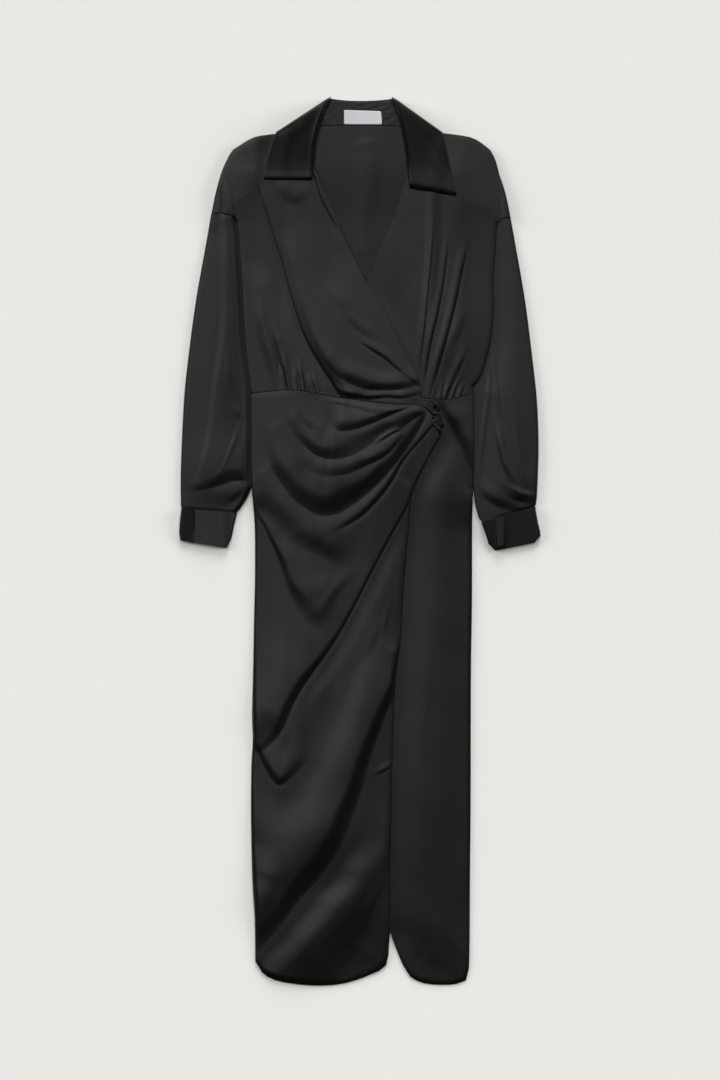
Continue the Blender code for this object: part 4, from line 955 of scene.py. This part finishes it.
def under_skirt(xy):
    clear = beside(np.vstack([KNOT_LINE, OVER_FREE[1:]]), xy)[0]
    knot = np.hypot(xy[:, 0] - KNOT[0], xy[:, 1] - KNOT[1])
    # from the knot a ridge rises down the skirt, on the lower side of the fold that starts there
    below = -beside(curve(UNDER_SKIRT_FOLDS[0].line), xy)[0]
    ridge = RIDGE_HIGH * ease(12, 120, knot) * ease(-4, 12, below) * (1 - 0.8 * ease(10, 80, below))
    ridge = ridge * ease(8, 34, clear) * ease(-90, 70, xy[:, 1])
    swell = ease(5, 50, clear) * ease(10, 26, knot) * (plump("under_skirt", xy, 1.2, 2.2) + handled(xy, 7))
    folds = ease(0, 9, clear) * ease(8, 16, knot) * folded(UNDER_SKIRT_FOLDS, xy)
    return skirt_base(xy) + swell + ridge + folds


def over_skirt(xy):
    on_under = -beside(UNDER_FREE, xy)[0]
    body = into(OUTLINES["over_skirt"], xy)
    at_knot = np.abs(beside(KNOT_LINE, xy)[0])
    # the edge is rounder below the hip
    puff = plump("over_skirt", xy, PUFF, 1.1 + 1.1 * ease(-70, 20, -xy[:, 1]))
    raised = puff + (folded(OVER_SKIRT_FOLDS, xy) + handled(xy, 9)) * ease(-3, 9, body)
    return skirt_base(xy) + LAYER * ease(-80, -7, on_under) + raised * ease(-4, 9, at_knot)


def sleeve_top(cover, outer, folds, side, cuff_y):
    """A sleeve is full in its length, and flat at its two seams and beside the body.
    side is 1 on the left and -1 on the right."""
    def top(xy):
        free = beside(cover, xy)[0] * side
        rim = np.maximum(beside(outer, xy)[0] * side, 0)
        down, up = LEFT_TOP - xy[:, 1], xy[:, 1] - cuff_y
        full = ease(0, 60, down) * ease(0, 45, up)
        puff = 1.2 * (1 - np.exp(-rim / 1.8)) + full * 1.3 * ease(0, 40, rim) * ease(0, 45, free)
        puff = puff + 0.5 * (1 - ease(0, 30, down))
        if side > 0:
            beside_body = ease(0.5, 6, free) * puff + 0.45 * np.exp(-((free - 8) / 3)**2) * full
        else:
            lift = 1.6 * (1 - ease(80, 470, xy[:, 1])) * ease(0, 60, up) * ease(10, 60, free)
            beside_body = 0.4 + ease(0, 34, free) * (puff - 0.4) + lift
        return 2 * CLOTH + GAP + beside_body + folded(folds, xy) * ease(2, 16, free) * ease(0, 7, rim)
    return top


# ---------------------------------------------------------------- the pieces

# Each panel with its height, the millimetres between its points, and the folds
# that have rows of points along them.
pieces = {}
for name, height, pitch, folds in (
        ("back_skirt", lambda xy: np.zeros(len(xy)), 9, []),
        ("back_bodice", back_bodice, 5, []),
        ("under_bodice", under_bodice, 2.8, UNDER_BODICE_FOLDS + gather_folds(UNDER_GATHERS)),
        ("over_bodice", over_bodice, 2.8, OVER_BODICE_FOLDS + gather_folds(OVER_GATHERS)),
        ("under_skirt", under_skirt, 3.4, []),
        ("over_skirt", over_skirt, 3.0, OVER_SKIRT_FOLDS)):
    outline = OUTLINES[name] - ((0, SEAM) if name in ("under_skirt", "over_skirt") else (0, 0))
    pieces[name] = shell(name + "_cloth", outline, height, pitch, SATIN, fold_rows(folds))

# What lies over the inner side of each sleeve, upwards.
LEFT_COVER = join(OVER_SIDE[:-1][OVER_SIDE[:-1, 1] > SLEEVE_FOOT], LEFT_FOLD)
LEFT_COVER = np.vstack([LEFT_SLEEVE_IN[LEFT_SLEEVE_IN[:, 1] < 80][::-1], LEFT_COVER])
RIGHT_COVER = np.vstack([RIGHT_SLEEVE_IN[RIGHT_SLEEVE_IN[:, 1] < 80][::-1],
                         UNDER_SIDE[UNDER_SIDE[:, 1] > 80][::-1], RIGHT_FOLD[1:]])
SLEEVE_STATIONS, SLEEVE_ACROSS = 240, 48  # rings along a sleeve, and points over its top
SLEEVE_TUCKS = (Tuck(4.5, 0.15, 4.5, 0.0), Tuck(6.0, 1.2, 3.5, 1.6))
pieces["left_sleeve"] = tube(
    "left_sleeve_cloth", LEFT_SLEEVE_OUT, LEFT_SLEEVE_IN,
    sleeve_top(LEFT_COVER, LEFT_SLEEVE_OUT, LEFT_SLEEVE_FOLDS, 1, 44), SLEEVE_STATIONS, SLEEVE_ACROSS, SATIN,
    crown=Crown(-206.5, 9.5, 3.0), tucks=SLEEVE_TUCKS)
pieces["right_sleeve"] = tube(
    "right_sleeve_cloth", RIGHT_SLEEVE_IN, RIGHT_SLEEVE_OUT,
    sleeve_top(RIGHT_COVER, RIGHT_SLEEVE_OUT, RIGHT_SLEEVE_FOLDS, -1, 38), SLEEVE_STATIONS, SLEEVE_ACROSS, SATIN,
    tucks=SLEEVE_TUCKS)


CUFF_TOP, CUFF_WALL = 4.5, 0.9


def left_cuff(xy):
    """Flat, but for its outer side, which is turned under and slants to the hem,
    and its inner side, which is lower."""
    strip = ease(247.6, 250.4, -xy[:, 0])
    inner = ease(-206, -190, xy[:, 0])
    up = xy[:, 1] - 14
    return CUFF_TOP + strip * (0.4 + 0.1 * up) - 0.018 * up + 1.6 * (1 - inner) - 0.9


def right_cuff(xy):
    """Slants from its seam to its hem, with the lap of the closing standing on it."""
    down = (xy[:, 1] - np.interp(xy[:, 0], [200, 262], [-14, -3])) / 52
    lap = ease(204.5, 206, xy[:, 0]) * ease(-219, -216, -xy[:, 0])
    slant = 4.4 - 1.0 * ease(205, 235, xy[:, 0])
    return CUFF_TOP - 0.4 + slant * np.clip(down, 0, 1) + lap * 3.0 * (1 - down) * ease(0, 0.08, down)


for name, left, right, height in (("left_cuff", LEFT_CUFF_OUT, LEFT_CUFF_IN, left_cuff),
                                  ("right_cuff", RIGHT_CUFF_IN, RIGHT_CUFF_OUT, right_cuff)):
    pieces[name] = tube(name + "_cloth", left, right, height, 30, 44, SATIN_DOUBLE, CUFF_WALL)


# The collar fall's sections: where each leaves the roll, and its outer edge. The
# first of each point is its lower edge.
Section = namedtuple("Section", "roll_x roll_y edge_x edge_y")
LEFT_POINT = [
    Section(-71.7, 541.2, -144.6, 541.2),
    Section(-71.4, 544.4, -143.8, 544.2),
    Section(-70.0, 556.0, -141.5, 556.0),
    Section(-68.0, 574.0, -137.5, 572.0),
    Section(-65.0, 602.0, -131.5, 591.0),
    Section(-58.0, 629.0, -127.5, 603.0),
    Section(-49.0, 652.0, -125.5, 608.5),
]
RIGHT_POINT = [
    Section(74.6, 528.6, 145.2, 516.4),
    Section(74.0, 534.4, 143.9, 521.4),
    Section(72.5, 548.0, 140.0, 539.0),
    Section(71.0, 564.0, 135.5, 559.0),
    Section(67.0, 594.0, 129.0, 587.0),
    Section(60.0, 628.0, 125.5, 602.0),
    Section(52.0, 652.0, 123.5, 608.0),
]
BACK_LEAF = [
    Section(-34.0, 662.0, -112.0, 601.0),
    Section(-18.0, 660.5, -75.0, 591.0),
    Section(2.0, 660.0, 0.0, 586.0),
    Section(22.0, 660.5, 75.0, 591.0),
    Section(40.0, 662.0, 110.0, 601.0),
]
LEFT_FLANK = Section(-45.0, 664.5, -126.0, 611.8)
RIGHT_FLANK = Section(49.0, 664.5, 123.5, 611.8)
TILT, MORE = 0.06, 0.00034            # how the points rise towards the shoulders, and how that grows
SHOULDER_LIFT = 2.7                   # how much higher they lie there
POINT_AIR = 0.9                       # below the points
LEFT_DROP_IN, RIGHT_DROP_IN = 1.9, 2.6  # how far their lower edges are drawn down
ROLL, ROLL_AT = 1.8, 0.03             # height of the roll beside the neck, and its share of the way out
ROUND_ABOUT = 6.0                     # the points clear what lies this near
TURN_OUT = 0.2                        # how far the turn bulges, as a share of its radius
SHARES = np.array([0, 0.015, 0.04, 0.08, 0.13, 0.2, 0.28, 0.37, 0.46, 0.55, 0.64, 0.73, 0.82, 0.92, 1.0])


def across(section):
    """The section's places on the floor, at the SHARES of its way from the roll to the edge."""
    a, b = np.array(section).reshape(2, 2)
    return a + SHARES[:, None] * (b - a)


def under_points(xy):
    """Height of the highest thing under the collar's points, near each place."""
    best = np.zeros(len(xy))
    for near in [xy] + [xy + ROUND_ABOUT * np.array([cos(turn), sin(turn)]) for turn in np.arange(8) * pi / 4]:
        for name, height in (("over_bodice", over_bodice), ("under_bodice", under_bodice)):
            best = np.maximum(best, np.where(inside(OUTLINES[name], near), height(near) + CLOTH, 0))
    stand = (np.abs(xy[:, 0] - 2) < 66) & (xy[:, 1] > 612)
    return np.where(stand, np.maximum(best, 2 * DOUBLE + 2 * GAP), best)


def point_section(section, down=0.0):
    """One section of the collar's middle surface, from the roll to the edge."""
    at = across(section)
    roll = ROLL * ease(480, 620, at[:, 1]) * SHARES / ROLL_AT * np.exp(1 - SHARES / ROLL_AT)
    up = at[:, 1] - 530
    tilt = (TILT + MORE * np.maximum(up, 0)) * up * ease(0, 0.08, SHARES) + SHOULDER_LIFT * ease(552, 610, at[:, 1])
    return np.column_stack([at, under_points(at).max() + POINT_AIR + DOUBLE / 2 + roll + tilt - down
                            + folded(COLLAR_FOLDS, at)])


def turned(flank, last, angles):
    """The collar's turn beyond the last section of its point, which it carries on."""
    at = across(flank)
    way = (at[-1] - at[0]) / np.linalg.norm(at[-1] - at[0])
    out = np.array([way[1], -way[0]])
    out = out * (1 if out[1] > 0 else -1)
    radius = (point_section(last)[:, 2] + 0.3 - DOUBLE / 2) / 2
    return [np.column_stack([at + out * TURN_OUT * radius[:, None] * (cos(angle) - 1),
                             DOUBLE / 2 + radius * (1 + sin(angle))]) for angle in angles]


def collar_fall():
    """The collar's middle surface: left point, turn, back leaf, turn, right point."""
    down = np.array([pi / 2, pi / 4, 0, -pi / 4, -pi / 2])
    rows = [point_section(s, 0.0 if k else LEFT_DROP_IN) for k, s in enumerate(LEFT_POINT)]
    rows += turned(LEFT_FLANK, LEFT_POINT[-1], down)
    rows += [np.column_stack([across(s), np.full(len(SHARES), DOUBLE / 2)]) for s in BACK_LEAF]
    rows += turned(RIGHT_FLANK, RIGHT_POINT[-1], -down)
    rows += [point_section(s, 0.0 if k else RIGHT_DROP_IN) for k, s in enumerate(RIGHT_POINT)][::-1]
    return denser(denser(np.array(rows), 6).transpose(1, 0, 2), 4).transpose(1, 0, 2)


def denser(points, count):
    """A grid of points with count - 1 smooth rows put between its rows."""
    p = np.concatenate([2 * points[:1] - points[1:2], points, 2 * points[-1:] - points[-2:-1]])
    rows = [between(p[:-3], p[1:-2], p[2:-1], p[3:], t) for t in np.arange(count) / count]
    return np.concatenate([np.stack(rows, axis=1).reshape(-1, *points.shape[1:]), points[-1:]])


def thick_grid(name, grid, thick, finish):
    """Cloth given by the grid of its middle surface, with a soft rim."""
    du, dv = np.gradient(grid, axis=0), np.gradient(grid, axis=1)
    normal = np.cross(du, dv)
    normal = normal / np.linalg.norm(normal, axis=2)[..., None]
    near, far = grid - normal * thick / 2, grid + normal * thick / 2
    n, m = grid.shape[:2]
    verts = np.vstack([near.reshape(-1, 3), far.reshape(-1, 3)])
    faces = []
    for i in range(n - 1):
        for j in range(m - 1):
            a, b, c, d = i * m + j, (i + 1) * m + j, (i + 1) * m + j + 1, i * m + j + 1
            faces += [(d, c, b, a), tuple(n * m + k for k in (a, b, c, d))]
    rim = ([(0, j) for j in range(m)] + [(i, m - 1) for i in range(1, n)]
           + [(n - 1, j) for j in range(m - 2, -1, -1)] + [(i, 0) for i in range(n - 2, 0, -1)])
    rim = [i * m + j for i, j in rim]
    faces += [(b, a, n * m + a, n * m + b) for a, b in zip(rim, rim[1:] + rim[:1])]
    return piece(name, verts, faces, finish)


def stitch_tree():
    """Stitches along a line: Spacing, Length and Thread are in metres."""
    tree = bpy.data.node_groups.new("stitches along a seam", "GeometryNodeTree")
    tree.interface.new_socket("Line", in_out="INPUT", socket_type="NodeSocketGeometry")
    for name, kind, value in (("Spacing", "Float", 0.003), ("Length", "Float", 0.0022), ("Thread", "Float", 0.0004),
                              ("Seed", "Int", 4), ("Finish", "Material", None)):
        made = tree.interface.new_socket(name, in_out="INPUT", socket_type="NodeSocket" + kind)
        if value is not None:
            made.default_value = value
    tree.interface.new_socket("Stitches", in_out="OUTPUT", socket_type="NodeSocketGeometry")
    given = node(tree, "NodeGroupInput").outputs
    line = node(tree, "GeometryNodeMeshToCurve", links={"Mesh": given["Line"]})
    points = node(tree, "GeometryNodeCurveToPoints",
                  links={"Curve": line.outputs["Curve"], "Length": given["Spacing"]}, mode="LENGTH")
    bead = node(tree, "GeometryNodeMeshUVSphere", {"Segments": 6, "Rings": 5, "Radius": 0.5})
    size = node(tree, "ShaderNodeCombineXYZ",
                links={"X": given["Thread"], "Y": given["Thread"], "Z": given["Length"]})
    # 2 and 3 are the least and the most that a stitch is scaled by
    uneven = node(tree, "FunctionNodeRandomValue", {2: 0.82, 3: 1.12}, {"Seed": given["Seed"]}, data_type="FLOAT")
    scaled = node(tree, "ShaderNodeVectorMath",
                  links={0: size.outputs["Vector"], "Scale": uneven.outputs[1]}, operation="SCALE")
    put = node(tree, "GeometryNodeInstanceOnPoints", links={
        "Points": points.outputs["Points"], "Instance": bead.outputs["Mesh"],
        "Rotation": points.outputs["Rotation"], "Scale": scaled.outputs["Vector"]})
    real = node(tree, "GeometryNodeRealizeInstances", links={"Geometry": put.outputs["Instances"]})
    smooth = node(tree, "GeometryNodeSetShadeSmooth", links={"Geometry": real.outputs["Geometry"]})
    finish = node(tree, "GeometryNodeSetMaterial",
                  links={"Geometry": smooth.outputs["Geometry"], "Material": given["Finish"]})
    node(tree, "NodeGroupOutput", links={"Stitches": finish.outputs["Geometry"]})
    return tree


STITCHES = stitch_tree()


def sew(name, lines, spacing, length, thread_wide, finish):
    """A piece of stitches along lines of points, all in millimetres."""
    verts, edges = [], []
    for line in lines:
        edges += [(len(verts) + k, len(verts) + k + 1) for k in range(len(line) - 1)]
        verts += ((np.asarray(line, float) - (*MIDDLE, 0)) * MM).tolist()
    mesh = bpy.data.meshes.new(name + " line")
    mesh.from_pydata(verts, edges, [])
    made = bpy.data.objects.new(name, mesh)
    scene.collection.objects.link(made)
    sewing = made.modifiers.new("stitches", "NODES")
    sewing.node_group = STITCHES
    values = {"Spacing": spacing * MM, "Length": length * MM, "Thread": thread_wide * MM,
              "Seed": len(verts), "Finish": finish}
    for item in STITCHES.interface.items_tree:
        if item.in_out == "INPUT" and item.name in values:
            sewing[item.identifier] = values[item.name]
    bpy.context.view_layer.update()
    result = bpy.data.meshes.new_from_object(made.evaluated_get(bpy.context.evaluated_depsgraph_get()))
    made.modifiers.remove(sewing)
    made.data = result
    result.name = name
    bpy.data.meshes.remove(mesh)
    return made


def on_cloth(line, height, above):
    """Points of a flat line, lifted to just above a piece's face."""
    return np.column_stack([line, height(line) + above])


STAND_LOW = DOUBLE + GAP + 0.1
LABEL_LOW = STAND_LOW + DOUBLE + GAP
LABEL_THICK = 1.0
FINE_PITCH = 1.6     # between the points of the small pieces

pieces["collar_fall"] = thick_grid("collar_fall_cloth", collar_fall(), DOUBLE, SATIN_DOUBLE)
STAND = np.array([(-61, 622.8), (0, 623.6), (62, 622.8), (56, 645), (46, 660), (2, 658.5), (-42, 660),
                  (-54, 645)], float)
pieces["collar_stand"] = shell(
    "collar_stand_cloth", STAND, lambda xy: STAND_LOW + ripple(xy * (0.45, 1), 11, 7, 0.09), FINE_PITCH,
    SATIN_DOUBLE, thick=DOUBLE)
TAPE = np.array([(-22.6, 624.6), (31.6, 624.4), (32.7, 625.0), (33, 626), (31.7, 642.6), (31.2, 643.7), (30, 644.1),
                 (-22.6, 646), (-23.7, 645.6), (-24, 644.6), (-24, 626), (-23.7, 625)], float)
pieces["neck_label"] = shell(
    "neck_label_tape", TAPE, lambda xy: np.full(len(xy), LABEL_LOW), FINE_PITCH, LABEL,
    thick=LABEL_THICK, wall=0.5, roll=0.5)


# A strand of the knot: its line, the half widths along it, half its height, and
# its underside.
Strand = namedtuple("Strand", "line wide high low")
KNOT_STRANDS = [
    Strand([(95, 205), (103, 199), (109, 191), (112, 184), (114, 176), (119, 166), (121.5, 158)],
           (1.5, 3, 4, 4.2, 4, 3, 1.2), 1.8, 8.2),
    Strand([(108, 211), (112, 208.5), (115.5, 203), (117, 198), (115.5, 193)],
           (1.2, 2.4, 2.8, 2.6, 1.2), 2.2, 10.2),
    Strand([(92, 206), (98, 203), (105, 196), (109.5, 191), (109, 184), (112, 180)],
           (1, 2, 2.2, 2, 1.8, 1), 1.8, 10.8),
    Strand([(107, 187), (112, 192.5), (119, 190), (120, 185.5), (116, 182), (111, 181), (108.5, 176.5),
            (112.5, 172.5), (118, 175)], (1.2, 2.2, 2.4, 2.1, 1.8, 1.8, 1.9, 1.9, 1), 2.1, 12.0),
    Strand([(118, 184), (123, 181), (124.5, 175), (121.5, 168.5)], (1, 2, 2.2, 1), 2.0, 10.6),
    Strand([(111.5, 179), (115, 171), (119, 165), (122, 159)], (1, 2.1, 2.3, 1.1), 2.0, 11.2),
    Strand([(101, 209), (105, 205), (111, 201.5), (113, 197)], (0.9, 1.8, 1.9, 0.9), 1.6, 11.0),
]


STRAND_RINGS, STRAND_ROUND = 30, 20  # rings along a strand, and points round each
OVAL, WOUND = 0.16, 7                # how oval a strand is, and how far its oval turns along it


def waist_knot():
    """The drawn-in end of the over skirt: folds of it wound over each other."""
    verts, faces = [], []
    count = STRAND_ROUND
    angle = 2 * pi * np.arange(count) / count
    for strand in KNOT_STRANDS:
        line = even(curve(strand.line, 2.5), STRAND_RINGS)
        share = np.linspace(0, 1, len(line))
        wide = along_line(strand.wide, share) * (1 - (2 * share - 1)**12 * 0.9)
        start = len(verts)
        for k, (at, side) in enumerate(zip(line, left_of(line))):
            rise = strand.high * min(1.0, float(wide[k]) / 2.2)
            oval = 1 + OVAL * np.cos(2 * angle + WOUND * share[k])
            ring = np.column_stack([at + side * (wide[k] * oval * np.cos(angle))[:, None],
                                    strand.low + rise + rise * oval * np.sin(angle)])
            verts += ring.tolist()
        last = start + (len(line) - 1) * count
        faces += [tuple(range(start, start + count))[::-1], tuple(range(last, last + count))]
        faces += [(start + k * count + j, start + k * count + (j + 1) % count,
                   start + (k + 1) * count + (j + 1) % count, start + (k + 1) * count + j)
                  for k in range(len(line) - 1) for j in range(count)]
    return piece("waist_knot_cloth", verts, faces, SATIN)


pieces["waist_knot"] = waist_knot()

for name, made in pieces.items():
    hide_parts(name)
    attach(made, "root")

TAPE_HEM = finer(np.array([(-22.3, 626.2), (31.4, 626.0), (30.0, 642.6), (-22.3, 644.3), (-22.3, 626.2)]), 2)
ABOVE_SEAM = (0, 1.6)
sewing = [
    sew("neck_label_stitches",
        [np.column_stack([TAPE_HEM, np.full(len(TAPE_HEM), LABEL_LOW + LABEL_THICK - 0.02)])],
        2.4, 1.9, 0.45, WHITE_THREAD),
    sew("waist_seam_stitches",
        [on_cloth(OVER_WAIST[2:-3] + ABOVE_SEAM, over_bodice, CLOTH - 0.1),
         on_cloth(UNDER_WAIST[UNDER_WAIST[:, 0] > 102][:-1] + ABOVE_SEAM, under_bodice, CLOTH - 0.1)],
        3.0, 2.3, 0.5, BLACK_THREAD),
]
for made in sewing:
    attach(made, "root")

# The cut of what shows of each piece, all round on the sleeves and cuffs, in
# metres, and its area where that isn't width by length.
Cut = namedtuple("Cut", "piece width length area held rests_on")
